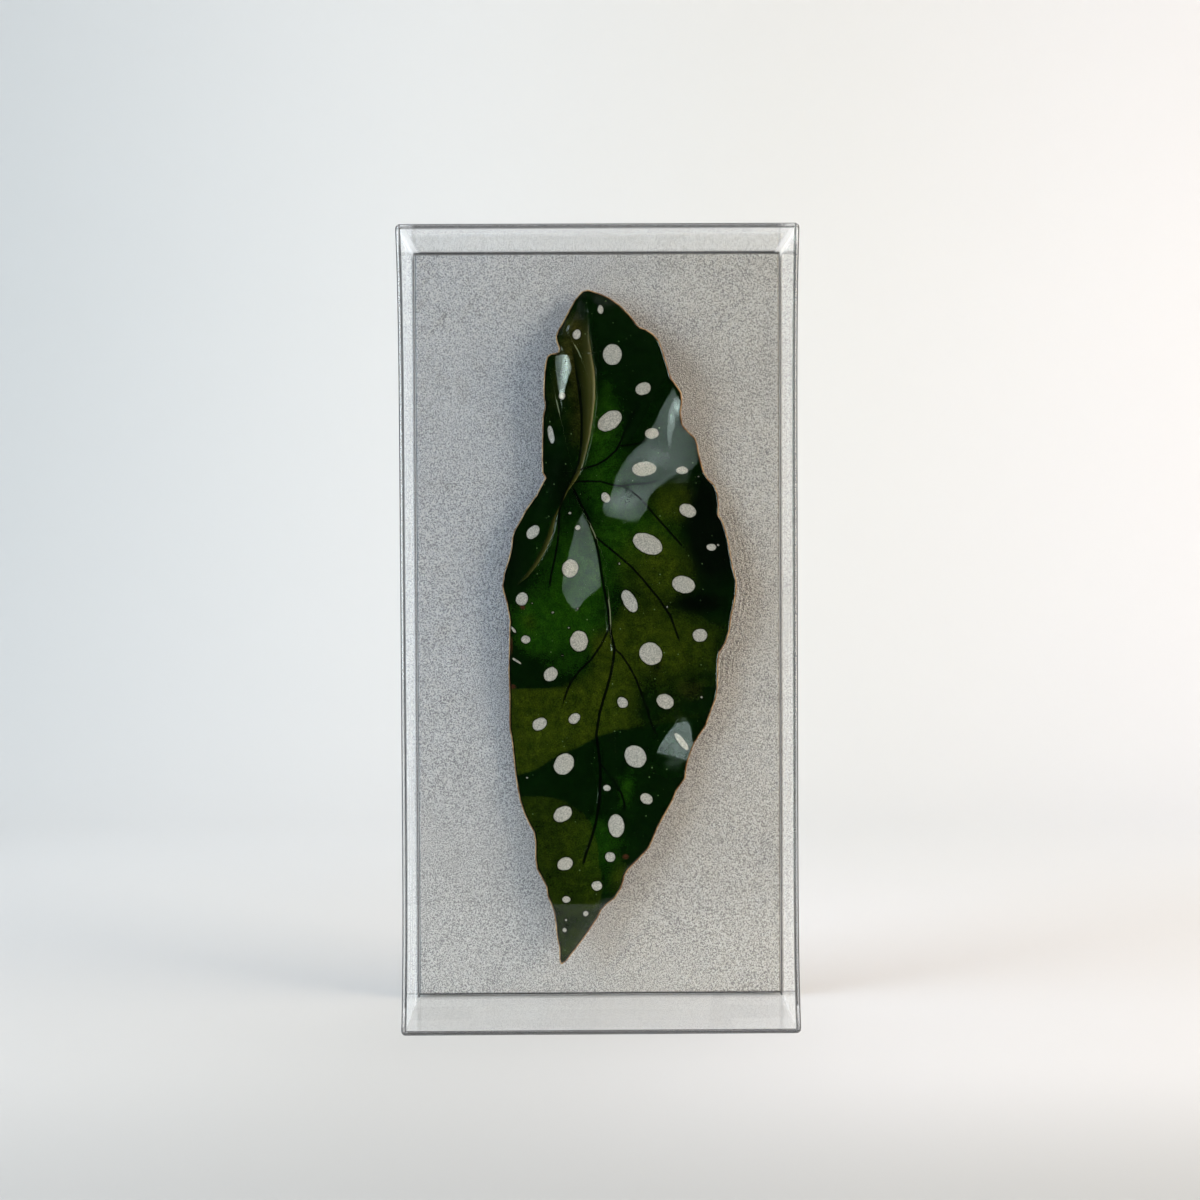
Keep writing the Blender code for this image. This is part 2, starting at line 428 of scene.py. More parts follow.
set_world()
bpy.context.scene.view_settings.view_transform = "Standard"
print("room strength", ROOM_STRENGTH)

# %% [markdown]
# The leaf's outline. The leaf is measured flat, across and up in millimetres, from its
# stalk end at the top down to its tip. The edge is scalloped, with a torn step near the
# top on the left where the leaf is folded. Each side is a list of points that only ever
# goes down, so a row of the mesh at any height has one left and one right end.

# %% Outline of the leaf
LEFT_EDGE = (
    (-3.6, 235.7), (-5.3, 235.4), (-7.9, 232.4), (-9.9, 228.8), (-11.6, 225.5), (-13.3, 222.5),
    (-14.2, 220.2), (-13.9, 218.2), (-13.0, 216.1), (-13.4, 214.6), (-15.7, 214.4), (-17.0, 213.4),
    (-17.7, 210.3), (-18.1, 205.4), (-18.2, 200.4), (-17.7, 197.3), (-18.5, 193.5), (-18.7, 186.2),
    (-18.8, 179.3), (-18.6, 175.3), (-17.6, 173.7), (-19.1, 171.0), (-20.5, 168.2), (-22.8, 165.1),
    (-24.4, 162.8), (-25.9, 159.8), (-27.9, 156.5), (-28.7, 153.7), (-28.9, 150.7), (-29.9, 146.6),
    (-31.3, 142.3), (-31.9, 138.2), (-31.6, 136.2), (-30.6, 133.1), (-30.0, 129.8), (-29.4, 126.5),
    (-29.6, 123.0), (-29.7, 116.3), (-29.9, 109.7), (-29.7, 104.4), (-29.6, 99.4), (-29.7, 93.8),
    (-29.6, 90.3), (-28.9, 86.9), (-28.4, 81.9), (-27.9, 76.8), (-27.2, 71.8), (-26.2, 66.8),
    (-24.8, 62.5), (-23.2, 59.0), (-21.6, 56.3), (-21.1, 53.2), (-21.1, 47.5), (-20.6, 44.1),
    (-18.9, 41.0), (-17.5, 38.4), (-17.0, 35.1), (-15.8, 32.4), (-14.9, 30.0), (-14.3, 25.6),
    (-13.9, 21.5), (-13.1, 17.9), (-13.0, 13.8), (-12.5, 12.8),
)
RIGHT_EDGE = (
    (-3.3, 235.7), (0.3, 234.6), (3.6, 233.1), (7.1, 230.6), (10.4, 227.2), (13.5, 223.2),
    (15.5, 222.7), (17.8, 221.2), (19.9, 218.9), (21.2, 215.4), (22.5, 211.1), (23.9, 206.3),
    (25.9, 203.7), (27.3, 201.6), (27.6, 198.6), (27.1, 195.2), (27.7, 191.2), (30.0, 188.7),
    (32.0, 187.0), (32.8, 184.7), (33.3, 181.7), (34.2, 178.3), (35.0, 175.7), (36.5, 173.3),
    (38.4, 171.6), (39.6, 168.6), (39.9, 165.2), (39.7, 161.5), (41.1, 159.5), (42.1, 156.5),
    (43.1, 152.4), (43.8, 148.0), (44.8, 142.7), (45.6, 139.9), (45.6, 136.5), (44.9, 132.1),
    (43.9, 127.5), (43.4, 123.0), (42.1, 119.0), (40.1, 115.9), (39.7, 113.0), (39.6, 108.7),
    (39.6, 104.5), (38.9, 100.4), (37.7, 97.1), (36.6, 94.1), (35.6, 91.3), (33.7, 88.6),
    (32.0, 85.9), (30.6, 82.6), (29.3, 78.5), (28.8, 74.1), (27.3, 72.1), (25.9, 70.1),
    (24.6, 66.8), (22.2, 62.4), (19.9, 58.3), (18.2, 54.2), (16.8, 51.1), (15.5, 49.6),
    (12.8, 46.8), (9.8, 43.8), (8.6, 41.7), (8.3, 40.0), (7.4, 37.4), (5.4, 34.3),
    (3.0, 32.7), (1.0, 30.6), (-0.3, 27.9), (-2.4, 24.9), (-4.7, 21.5), (-7.8, 17.5),
    (-10.5, 14.1), (-12.1, 12.8),
)
LEAF_TOP, LEAF_TIP = 235.65, 12.85
WIDEST_UP = 136.5


FAR_AWAY = 99.0


def across_at(line, up):
    """How far across a line lies at each height, for a line that runs downwards."""
    points = np.array(line)
    return np.interp(up, points[::-1, 1], points[::-1, 0])


def signed_distance(points, chains):
    """Distance from each point to the nearest of some chains: plus on one side, minus on the other."""
    best = np.full(points.shape[:-1], FAR_AWAY)
    signed = best.copy()
    for chain in chains:
        for start, end in zip(chain, chain[1:]):
            a = np.array(start)
            run = np.array(end) - a
            off = points - a
            share = np.clip((off @ run) / (run @ run), 0, 1)
            gap = off - share[..., None] * run
            distance = np.hypot(gap[..., 0], gap[..., 1])
            side = np.sign(run[0] * off[..., 1] - run[1] * off[..., 0])
            nearer = distance < best - 1e-6
            best = np.where(nearer, distance, best)
            signed = np.where(nearer, distance * side, signed)
    return signed


def edge_distance(points):
    """Distance to the leaf's outline, in millimetres."""
    outline = [tuple(LEFT_EDGE) + tuple(RIGHT_EDGE[::-1]) + (LEFT_EDGE[0],)]
    return np.abs(signed_distance(points, outline))


widest = across_at(RIGHT_EDGE, WIDEST_UP) - across_at(LEFT_EDGE, WIDEST_UP)
print("leaf", round(LEAF_TOP - LEAF_TIP, 1), "mm long and about", round(float(widest), 1), "mm wide")

# %% [markdown]
# The card's finish. It is thick paper with a fine pebbled grain, with grey patches and slanting
# streaks. Its colour also carries painted light: cooler on the left and warmer on the right,
# as the two side lamps tint it, and painted shade low down. Close to the leaf it has ripples
# that follow the leaf's outline, tinted brown there as painted shadow. The waves and the larger
# wrinkles will be real relief in a fine grid of faces, so only the grain, less than half a
# millimetre across, and the ripples are left to bump. Painted shadow darkens the card's edges
# into thin lines, and its foot, where it stands in the case.


# %% Card finish
def card_ground(card, blotch, patch):
    """The card's colour: a painted light tint, cool on the left and warm on the right, painted shade low
    down, and greyer patches.
    """
    # painted light: cool where the left lamp falls, warm where the right one does
    painted_light_tint = (card.along(0) / MM + (blotch - 0.5) * 90).rise(-45.0, 45.0)
    cool = blotch.rise(0.3, 0.7).blend(colour(225, 228, 237), colour(237, 240, 249))
    warm = blotch.rise(0.3, 0.7).blend(colour(231, 226, 219), colour(247, 242, 234))
    tone = painted_light_tint.blend(cool, warm)
    # painted shade: darker and browner towards the bottom
    tone = (card.along(2).fall(25 * MM, 130 * MM) * 0.5).blend(tone, colour(212, 204, 192))
    return (patch.rise(0.48, 0.75) * 0.4).blend(tone, colour(186, 184, 185))


def card_streaks(card, blotch):
    """Long marks that slant across the card, in some places only."""
    inputs = {"Vector": card.place, "Rotation": (0, 0.7, 0), "Scale": (1, 1, 5)}
    slanted = card.start.node("Mapping", {"vector_type": "TEXTURE"}, inputs)
    inputs = {"Vector": slanted, "Scale": 1 / (2.6 * MM), "Detail": 3.0}
    return card.start.node("TexNoise", inputs=inputs).rise(0.52, 0.72) * blotch.rise(0.42, 0.6)


def ripples_with_painted_shadow(card, blotch, patch):
    """Ripples that follow the leaf's outline, most of all half way up on its right: bump, and a brown tone
    of painted shadow.
    """
    from_leaf = card.measure("from_leaf")
    ripple_and_shadow = card.start.math("SINE", from_leaf * 4.1 + (blotch - 0.5) * 16)
    ripple_and_shadow = ripple_and_shadow * from_leaf.fall(2.0, 11.0) * patch.rise(0.25, 0.5)
    up = card.along(2)
    half_way_up = up.rise(85 * MM, 115 * MM) * up.fall(158 * MM, 172 * MM)
    right_side = card.along(0).rise(0.0, 22 * MM)
    return ripple_and_shadow * (0.2 + right_side * 0.8) * (0.3 + half_way_up * 0.7)


def make_card_finish():
    card = Finish("grey_textured_card", Roughness=0.9, Specular_IOR_Level=0.25)
    grain = card.noise(0.36 * MM, detail=1.0, roughness=0.5)
    worm = (1 - abs(card.noise(0.7 * MM, detail=1.0, shift=(7, 0, 2)) - 0.5) * 7).rise(0.2, 0.95)
    fibre = card.noise(0.9 * MM, detail=3.0, stretch=(1.0, 1.0, 0.16))
    blotch = card.noise(34 * MM, detail=3.0)
    patch = card.noise(9 * MM, detail=4.0, roughness=0.6, shift=(3, 0, 5))
    streak = card_streaks(card, blotch)
    ripple_and_shadow = ripples_with_painted_shadow(card, blotch, patch)

    tone = card_ground(card, blotch, patch)
    tone = (streak * 0.45).blend(tone, colour(172, 171, 173))
    # painted shadow: the ripples beside the leaf turned brownish
    tone = (ripple_and_shadow.rise(0.0, 1.0) * 0.55).blend(tone, colour(170, 157, 140))
    tone = (grain.rise(0.42, 0.62) * 0.75).blend(tone, colour(255, 255, 253))
    tone = (grain.fall(0.36, 0.52) * 0.68).blend(tone, colour(118, 118, 122))
    tone = (worm * 0.16).blend(tone, colour(130, 129, 131))
    # painted shadow: a dark line along the card's edges, where it meets the case
    tone = (card.measure("inset").fall(0.15, 0.55) * 0.8).blend(tone, colour(52, 46, 40))
    # painted shadow: nearly black along the card's foot, where it stands in the case
    painted_foot_shadow = (card.along(2) / MM - board_low.z / MM).fall(0.35, 1.0)
    card.feed("Base Color", (painted_foot_shadow * 0.9).blend(tone, colour(18, 17, 16)))

    card.feed("Roughness", 0.84 + grain * 0.12)
    height = grain * 0.8 + fibre * 0.4 - worm * 0.2 + ripple_and_shadow * 0.12 - streak * 0.2
    card.feed("Normal", card.bump(height, 0.5 * MM, strength=1.0))
    return card.material


card_finish = make_card_finish()
print("card finish with", len(card_finish.node_tree.nodes), "nodes")

# %% [markdown]
# The card's own mesh. A card is a flat box, so why not keep the box? Because light that
# grazes it shows that paper is never flat. The front is a grid that is moved by a few
# hundredths of a millimetre: long soft waves, and shorter wrinkles between them. The
# moves go inwards only, so that the card stays inside its solid.


# %% Card mesh
CARD_COLUMNS, CARD_ROWS = 120, 240
CARD_RELIEF = 0.3 * MM
CARD_EDGE_RADIUS = 0.35 * MM
WAVE_SIZE, WRINKLE_SIZE, CRINKLE_SIZE = 26 * MM, 5 * MM, 2.4 * MM
SHARP_ANGLE = math.radians(50)
# Distances of the first rows from the card's edge, in millimetres
RIM_STEPS = (0.0, 0.15, 0.4, 0.8)
NOISE_CELLS = 95


def soft_noise(points, size, seed):
    """Smooth value noise over points, a plain grid of random numbers joined by smooth steps."""
    random = np.random.default_rng(seed)
    lattice = random.random((NOISE_CELLS + 1, NOISE_CELLS + 1))
    cell = points / size + 40.0
    whole = np.floor(cell).astype(int)
    part = cell - whole
    part = part * part * (3 - 2 * part)
    i, j = whole[..., 0] % NOISE_CELLS, whole[..., 1] % NOISE_CELLS
    low = lattice[i, j] * (1 - part[..., 0]) + lattice[i + 1, j] * part[..., 0]
    high = lattice[i, j + 1] * (1 - part[..., 0]) + lattice[i + 1, j + 1] * part[..., 0]
    return low * (1 - part[..., 1]) + high * part[..., 1]


def mesh_from_grids(name, front, back, finish):
    """One closed mesh from a front and a back grid of points, joined round their rims."""
    rows, columns = front.shape[:2]
    points = np.concatenate([front.reshape(-1, 3), back.reshape(-1, 3)])
    index = np.arange(rows * columns).reshape(rows, columns)
    corners = [index[:-1, :-1], index[1:, :-1], index[1:, 1:], index[:-1, 1:]]
    front_faces = np.stack(corners, axis=-1).reshape(-1, 4)
    back_faces = front_faces[:, ::-1] + rows * columns
    rim = np.concatenate([index[0, :], index[1:, -1], index[-1, -2::-1], index[-2:0:-1, 0]])
    after = np.roll(rim, -1)
    rim_faces = np.stack([rim, after, after + rows * columns, rim + rows * columns], axis=-1)
    faces = np.concatenate([front_faces, back_faces, rim_faces])
    mesh = bpy.data.meshes.new(name)
    mesh.from_pydata(points.tolist(), [], faces.tolist())
    bm = bmesh.new()
    bm.from_mesh(mesh)
    bmesh.ops.recalc_face_normals(bm, faces=bm.faces)
    bm.to_mesh(mesh)
    bm.free()
    mesh.shade_smooth()
    mesh.materials.append(finish)
    return add_object(name, mesh)


def with_fine_rim(start, end, count):
    """Evenly spaced places from start to end, with closer ones beside both ends."""
    rim = np.array(RIM_STEPS) * MM * (1 if end > start else -1)
    inner = np.linspace(start + rim[-1], end - rim[-1], count - 2 * len(rim) + 3)[1:-1]
    return np.concatenate([start + rim, inner, (end - rim)[::-1]])


def make_card():
    across = with_fine_rim(board_low.x, board_high.x, CARD_COLUMNS)
    up = with_fine_rim(board_high.z, board_low.z, CARD_ROWS)
    x, z = np.meshgrid(across, up)
    flat = np.stack([x, z], axis=-1)
    waves = soft_noise(flat, WAVE_SIZE, 3)
    wrinkles = soft_noise(flat, WRINKLE_SIZE, 4) * 0.5 + soft_noise(flat, CRINKLE_SIZE, 5) * 0.3
    inset = np.minimum(
        np.minimum(x - board_low.x, board_high.x - x), np.minimum(z - board_low.z, board_high.z - z)
    )
    rounding = CARD_EDGE_RADIUS * np.clip(1 - inset / CARD_EDGE_RADIUS, 0, 1) ** 2
    depth = CARD_RELIEF * (0.55 * waves + 0.45 * wrinkles) + rounding
    front = np.stack([x, board_low.y + depth, z], axis=-1)
    back = np.stack([x, np.full_like(x, board_high.y), z], axis=-1)
    card = mesh_from_grids("card_with_grain", front, back, card_finish)
    card.data.set_sharp_from_angle(angle=SHARP_ANGLE)
    store(card, "inset", np.tile(inset.ravel() / MM, 2))
    # the ripples are on the front only, so the back counts as far from the leaf
    from_leaf = edge_distance(flat / MM)
    store(card, "from_leaf", np.stack([from_leaf, np.full_like(x, FAR_AWAY)]).ravel())
    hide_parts("backing_board")
    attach(card, "root")
    return card


card = make_card()
print("card:", len(card.data.polygons), "faces")

# %% [markdown]
# Veins and the fold. A begonia leaf has a main vein that forks again and again, and on
# this one the lamina is folded along the upper part of the main vein: the fold shows as
# a dull olive ridge between a dark crease on its left and a pale edge on its right. Each
# vein is a chain of points. Veins that lie far apart share a group, and a group stores
# how far to the left or right of its nearest vein each point of the leaf lies. A signed
# distance stays smooth across the vein, so a shader can draw a line from it that is far
# thinner than the mesh's faces.

# %% Veins and fold
MIDRIB = (
    (-8.2, 169.7), (-5.6, 164.4), (-3.6, 160.8), (-1.3, 154.5), (0.0, 148.3), (1.3, 140.0),
    (2.1, 135.4), (3.1, 130.8), (3.6, 125.5), (4.1, 122.2), (5.3, 117.2), (4.9, 113.9),
    (4.1, 109.0), (2.7, 104.0), (1.5, 100.1), (0.3, 95.8), (-0.8, 88.5), (-0.1, 83.6),
    (0.4, 79.3), (0.6, 74.7), (0.4, 68.4), (-0.1, 64.1), (-1.0, 59.2), (-2.3, 54.5),
    (-4.3, 48.9), (-5.0, 46.3),
)
VEIN_GROUPS = {
    "vein_main": (MIDRIB,),
    "vein_first": (
        ((3.6, 124.5), (2.7, 122.4), (0.7, 118.3), (-2.3, 113.9), (-6.3, 110.0), (-9.0, 106.5),
         (-10.4, 103.5), (-11.4, 100.4)),
        ((0.4, 79.3), (2.4, 76.8), (5.1, 73.1), (7.5, 69.4), (8.6, 65.8), (8.5, 64.1)),
        ((-1.3, 154.5), (2.1, 151.7), (6.1, 148.4), (11.2, 144.0), (14.5, 140.3), (19.9, 133.8),
         (22.2, 130.4), (23.9, 127.8), (25.2, 124.0), (26.4, 120.7)),
        ((-5.6, 176.5), (-0.7, 177.8), (2.7, 179.8), (5.8, 182.7), (7.5, 186.1), (8.9, 189.5),
         (10.5, 192.8), (12.9, 196.9)),
    ),
    "vein_second": (
        ((5.3, 117.2), (7.5, 115.3), (10.2, 111.3), (12.5, 106.9), (14.5, 101.5), (16.3, 96.5),
         (17.5, 92.3), (18.8, 89.6)),
        ((-11.1, 169.2), (-12.9, 163.1), (-13.1, 157.5), (-13.5, 152.4), (-14.4, 147.3),
         (-15.6, 142.0), (-16.1, 138.5)),
        ((-6.7, 172.4), (-4.0, 172.5), (0.7, 172.4), (4.4, 171.3), (7.7, 170.9), (10.4, 169.6),
         (13.8, 166.9), (16.5, 163.8), (20.5, 159.2), (23.9, 155.4), (27.3, 151.6)),
    ),
    "vein_third": (
        ((7.7, 170.9), (11.5, 171.6), (15.8, 171.9), (18.8, 172.6)),
        ((7.5, 184.1), (10.2, 184.4), (13.2, 184.9), (15.8, 186.4)),
    ),
}
FOLD_EDGE = (
    (-3.8, 230.0), (-3.6, 223.8), (-3.0, 219.2), (-2.3, 213.9), (-1.5, 209.3), (-1.2, 204.7),
    (-1.2, 199.4), (-2.0, 192.8), (-3.0, 186.2), (-4.3, 180.9), (-5.6, 176.3), (-7.3, 173.0),
    (-10.2, 169.1), (-12.2, 165.1), (-14.2, 160.5), (-15.4, 154.5), (-17.8, 149.0), (-20.5, 144.6),
    (-23.4, 141.0), (-26.5, 138.5),
)
FOLD_CREASE = (
    (-12.0, 226.0), (-9.6, 219.0), (-8.3, 213.3), (-7.3, 208.0), (-6.3, 202.1), (-5.7, 196.1),
    (-5.5, 190.2), (-5.7, 183.6), (-6.6, 178.3), (-7.9, 175.0), (-9.6, 171.7), (-11.4, 168.0),
    (-13.3, 163.8), (-15.4, 159.8), (-16.9, 155.2), (-19.0, 150.0), (-21.5, 145.5), (-24.3, 141.8),
    (-27.2, 139.0),
)
print("veins:", sum(len(chains) for chains in VEIN_GROUPS.values()))

# %% [markdown]
# The silver spots. They are ovals scattered between the veins, with specks of dust among
# them, and three of the ovals are painted highlights, glints on the coat. Each one is its
# centre, its two half lengths and its tilt. What is stored on the mesh is not a picture of
# them but the distance to the nearest one, minus inside it and plus outside, so the shader
# can give them a sharp rim at any size. The few thin pale lines, painted highlights too,
# are kept as chains, as the veins are.


# %% Spots
# Millimetres to a pixel of the photograph, and the pixel that lies at (0, PHOTO_LEVEL)
PHOTO_SCALE = 0.33
PHOTO_ACROSS, PHOTO_UP, PHOTO_LEVEL = 599.0, 577.0, 141.0


def from_photo(across, down):
    """Millimetres on the leaf from a place in the photograph's 1200 by 1200 pixels."""
    return (across - PHOTO_ACROSS) * PHOTO_SCALE, PHOTO_LEVEL - (down - PHOTO_UP) * PHOTO_SCALE


# centre across and down, half length, half width, in photograph pixels; tilt in degrees
# three entries are painted highlights, not spots: the long narrow one at (682.4, 742.5) and the two thin
# ones at the left edge, (513.5, 629.5) and (517.0, 661.0)
SPOTS_AND_GLINTS = (
    (600.9, 310.2, 4.5, 3.0, 90), (577.2, 335.7, 5.2, 4.0, 70), (612.7, 355.6, 10.5, 9.5, 90),
    (643.3, 389.7, 8.0, 6.2, 20), (610.1, 421.6, 13.3, 8.8, 35), (652.1, 434.0, 7.1, 5.4, 5),
    (644.6, 469.0, 12.5, 7.3, 5), (682.7, 470.2, 6.4, 3.8, 0), (551.5, 435.2, 9.2, 3.0, 100),
    (562.6, 396.6, 3.8, 3.5, 90), (606.0, 497.8, 5.4, 4.3, -55), (533.4, 532.2, 7.8, 5.4, 50),
    (570.6, 568.3, 9.3, 8.0, 75), (578.3, 527.7, 2.8, 2.5, 0), (570.4, 513.4, 1.5, 1.5, 0),
    (648.0, 543.8, 15.8, 9.6, -25), (688.3, 510.5, 8.9, 6.5, -25), (711.9, 547.2, 5.0, 3.5, 0),
    (718.9, 545.0, 1.3, 1.3, 0), (522.3, 599.0, 6.8, 6.0, 60), (525.9, 639.6, 4.7, 4.2, 0),
    (579.3, 641.3, 10.5, 8.9, 90), (550.9, 674.6, 7.8, 6.4, 50), (630.0, 601.1, 12.3, 6.5, -62),
    (623.0, 702.9, 5.9, 5.2, -50), (651.3, 653.9, 12.0, 10.8, -45), (683.9, 584.5, 11.8, 8.5, -15),
    (700.7, 635.5, 7.4, 6.7, 0), (665.8, 702.0, 9.0, 7.3, -25), (574.7, 719.1, 6.6, 4.8, 35),
    (539.7, 724.8, 7.8, 5.9, 35), (564.2, 764.8, 11.5, 9.4, 50), (635.9, 757.1, 11.9, 10.3, -50),
    (563.0, 815.0, 10.0, 7.3, 30), (607.3, 789.1, 3.9, 3.3, 0), (616.7, 827.0, 11.8, 8.1, 95),
    (646.9, 799.7, 6.6, 5.3, -30), (565.3, 865.2, 8.1, 6.4, 20), (610.6, 858.4, 5.2, 4.9, 0),
    (597.2, 887.2, 5.3, 4.9, 0), (566.5, 900.9, 4.3, 3.3, 0), (585.9, 914.9, 3.0, 3.0, 0),
    (564.8, 931.3, 2.2, 2.2, 0), (682.4, 742.5, 11.0, 3.2, -52), (577.8, 609.2, 1.4, 1.3, 0),
    (527.2, 778.6, 1.4, 1.3, 0), (702.3, 697.8, 1.5, 1.3, 0), (566.1, 921.6, 1.3, 1.3, 0),
    (553.0, 612.6, 1.6, 1.3, 0), (532.1, 603.3, 1.2, 1.2, 0), (569.3, 627.9, 1.3, 1.2, 0),
    (562.6, 655.4, 1.4, 1.2, 0), (619.6, 563.7, 1.3, 1.3, 0), (667.3, 607.4, 1.4, 1.3, 0),
    (699.0, 476.0, 1.2, 1.2, 0), (513.5, 629.5, 4.5, 1.3, -50), (517.0, 661.0, 5.5, 1.2, -32),
)


def spot_distance(points):
    """Distance to the nearest spot's rim in millimetres, minus inside the spot."""
    nearest = np.full(points.shape[:-1], FAR_AWAY)
    for across, down, length, width, tilt in SPOTS_AND_GLINTS:
        centre = np.array(from_photo(across, down))
        turn = math.radians(tilt)
        off = points - centre
        along = (off[..., 0] * math.cos(turn) + off[..., 1] * math.sin(turn)) / (length * PHOTO_SCALE)
        aside = (off[..., 1] * math.cos(turn) - off[..., 0] * math.sin(turn)) / (width * PHOTO_SCALE)
        radius = np.hypot(along, aside)
        slope = np.hypot(along / (length * PHOTO_SCALE), aside / (width * PHOTO_SCALE))
        distance = radius * (radius - 1) / np.maximum(slope, 1e-6)
        middle = -width * PHOTO_SCALE
        distance = np.where(radius < 0.2, middle * (1 - radius), distance)
        nearest = np.minimum(nearest, distance)
    return nearest


# Thin painted highlights: one on the fold, the lit sides of veins, and a streak on the flap
PAINTED_HIGHLIGHT_LINES = [
    [from_photo(*place) for place in chain] for chain in (
        ((575, 346), (579, 353), (581, 358)), ((591, 526), (594, 532), (596, 537)),
        ((609, 600), (610.5, 611), (611, 624)), ((557, 401), (560, 414)),
    )
]
print("spots:", len(SPOTS_AND_GLINTS))

# %% [markdown]
# The leaf's relief. A glossy surface is judged by what it mirrors, so its slopes matter
# more than its heights. On the real leaf four panels lean far enough to mirror the
# window. They are given here by their outlines, with the place of the fold's crest and
# how high it stands, from which the rest of the leaf is worked out below.


# %% Relief helpers
LEAF_THICKNESS = 1.2
# Each leaning panel: its left side and its right side, from the top down, in millimetres,
# the parts of the window's width that its top and its bottom mirror, and how high up it
# aims, in metres
PANELS = (
    (((24.4, 203.4), (20.1, 196.1), (16.8, 188.9), (13.5, 184.2), (9.2, 180.3), (5.3, 173.7),
      (4.0, 168.1), (0.7, 164.8), (1.7, 161.5), (7.0, 160.1)),
     ((24.6, 203.4), (27.7, 197.8), (32.3, 186.2), (33.0, 179.6), (30.7, 176.6), (24.1, 174.0),
      (18.5, 169.7), (16.2, 166.7), (16.5, 163.8), (13.5, 160.1)), (0.25, 0.86), 0.05),
    (((-5.4, 162.8), (-7.9, 158.2), (-9.6, 151.6), (-11.2, 145.0), (-12.5, 138.4), (-11.9, 134.4),
      (-7.4, 129.8)),
     ((-5.3, 162.8), (-3.0, 157.5), (-0.3, 149.3), (0.3, 143.3), (0.7, 137.4), (-3.0, 135.1),
      (-5.3, 132.8), (-7.3, 129.8)), (0.3, 0.55), 0.03),
    (((28.6, 93.2), (25.7, 92.5), (21.5, 87.9), (18.8, 82.9), (24.1, 81.9), (29.0, 80.0)),
     ((28.8, 93.2), (30.4, 92.2), (31.4, 85.6), (29.2, 80.0)), (0.6, 0.7), -0.05),
    (((-12.6, 216.9), (-14.5, 213.3), (-14.5, 208.6), (-13.6, 203.0), (-13.0, 199.7), (-12.6, 191.2)),
     ((-12.0, 216.9), (-10.0, 213.0), (-8.9, 209.3), (-10.6, 203.7), (-11.2, 199.7), (-12.2, 191.2)),
     (0.86, 0.6), 0.33),
)


def smooth(value, low, high):
    """0 below low and 1 above high, with a smooth step between them."""
    share = np.clip((value - low) / (high - low), 0, 1)
    return share * share * (3 - 2 * share)


def hump(distance, spread):
    """1 at no distance, falling away smoothly on both sides."""
    return np.exp(-((distance / spread) ** 2))


def panel_mask(x, z, left, right, soft=0.6, reach=0.3):
    """1 inside a panel and 0 outside it, with a narrow soft edge."""
    inside = smooth(x - across_at(left, z), -soft, soft) * smooth(across_at(right, z) - x, -soft, soft)
    for past_end in (left[0][1] - z, z - left[-1][1]):
        inside = inside * smooth(past_end, -reach - 0.3, 0.3 - reach)
    return inside


def spine_at(z):
    """Where each row starts: on the crest of the fold above, on the main vein below."""
    fold = across_at(FOLD_EDGE, z) - 1.5
    rib = across_at(MIDRIB + ((-9.0, 32.0), (-12.0, 13.0)), z)
    share = smooth(z, 150, 184)
    return fold * share + rib * (1 - share)


# The crest's height off the card beside its height up the leaf, and how the leaf hangs
SPINE_HEIGHT = ((3.9, 236.0), (5.4, 222.0), (7.6, 205.0), (7.4, 190.0), (6.3, 176.0), (5.2, 165.0),
                (4.3, 150.0), (4.0, 130.0), (4.2, 110.0), (4.0, 90.0), (4.3, 70.0), (4.2, 50.0),
                (4.6, 30.0), (5.0, 12.0))
LEAF_TURN = math.radians(-0.27)
LEAF_TURN_CENTRE = 125.0
LEAF_RAISE = 0.3


def in_case(x, z, off_card):
    """Points in the case, in metres, from places on the leaf in millimetres."""
    turned_x = math.cos(LEAF_TURN) * x - math.sin(LEAF_TURN) * (z - LEAF_TURN_CENTRE)
    turned_z = math.sin(LEAF_TURN) * x + math.cos(LEAF_TURN) * (z - LEAF_TURN_CENTRE)
    y = BOARD_FRONT_Y / MM - off_card * np.ones_like(x)
    return np.stack([turned_x, y, turned_z + LEAF_TURN_CENTRE + LEAF_RAISE], axis=-1) * MM


print("leaning panels:", len(PANELS))

# %% [markdown]
# Slopes. Each row of the leaf starts at the fold or the main vein, and its slope is added
# up outwards to both edges. The slopes are gentle waves: the lamina sinks beside the main
# vein, swells, and falls towards its edge, and the flap left of the fold stands up. They
# are chosen one by one, because the photograph shows them only as light and shade.


# %% Slopes of the lamina
def slope_right(x, z):
    """Slope of the front to the right of the spine: minus leans to the right."""
    across = (x - spine_at(z)) / np.maximum(across_at(RIGHT_EDGE, z) - spine_at(z), 1)
    swelling = 0.03 * np.cos(across * 3.0)
    falling_edge = -0.035 * smooth(across, 0.5, 1.0)
    rise_beside_vein = 0.05 * (1 - smooth(z, 150, 175)) * (1 - smooth(across, 0.0, 0.6))
    waves = 0.03 * np.sin(z / 11.0 + across * 4.0)
    return swelling + falling_edge + rise_beside_vein + waves


def slope_left(x, z):
    """The same to the left of the spine, where the flap stands up beside the fold."""
    across = (spine_at(z) - x) / np.maximum(spine_at(z) - across_at(LEFT_EDGE, z), 1)
    swelling = -0.04 * np.cos(across * 3.2)
    waves = 0.04 * np.sin(z / 13.0 + across * 3.0)
    standing_flap = 0.42 * hump(across - 0.62, 0.22) - 0.25 * hump(across - 0.4, 0.1)
    return swelling + waves + smooth(z, 150, 178) * standing_flap


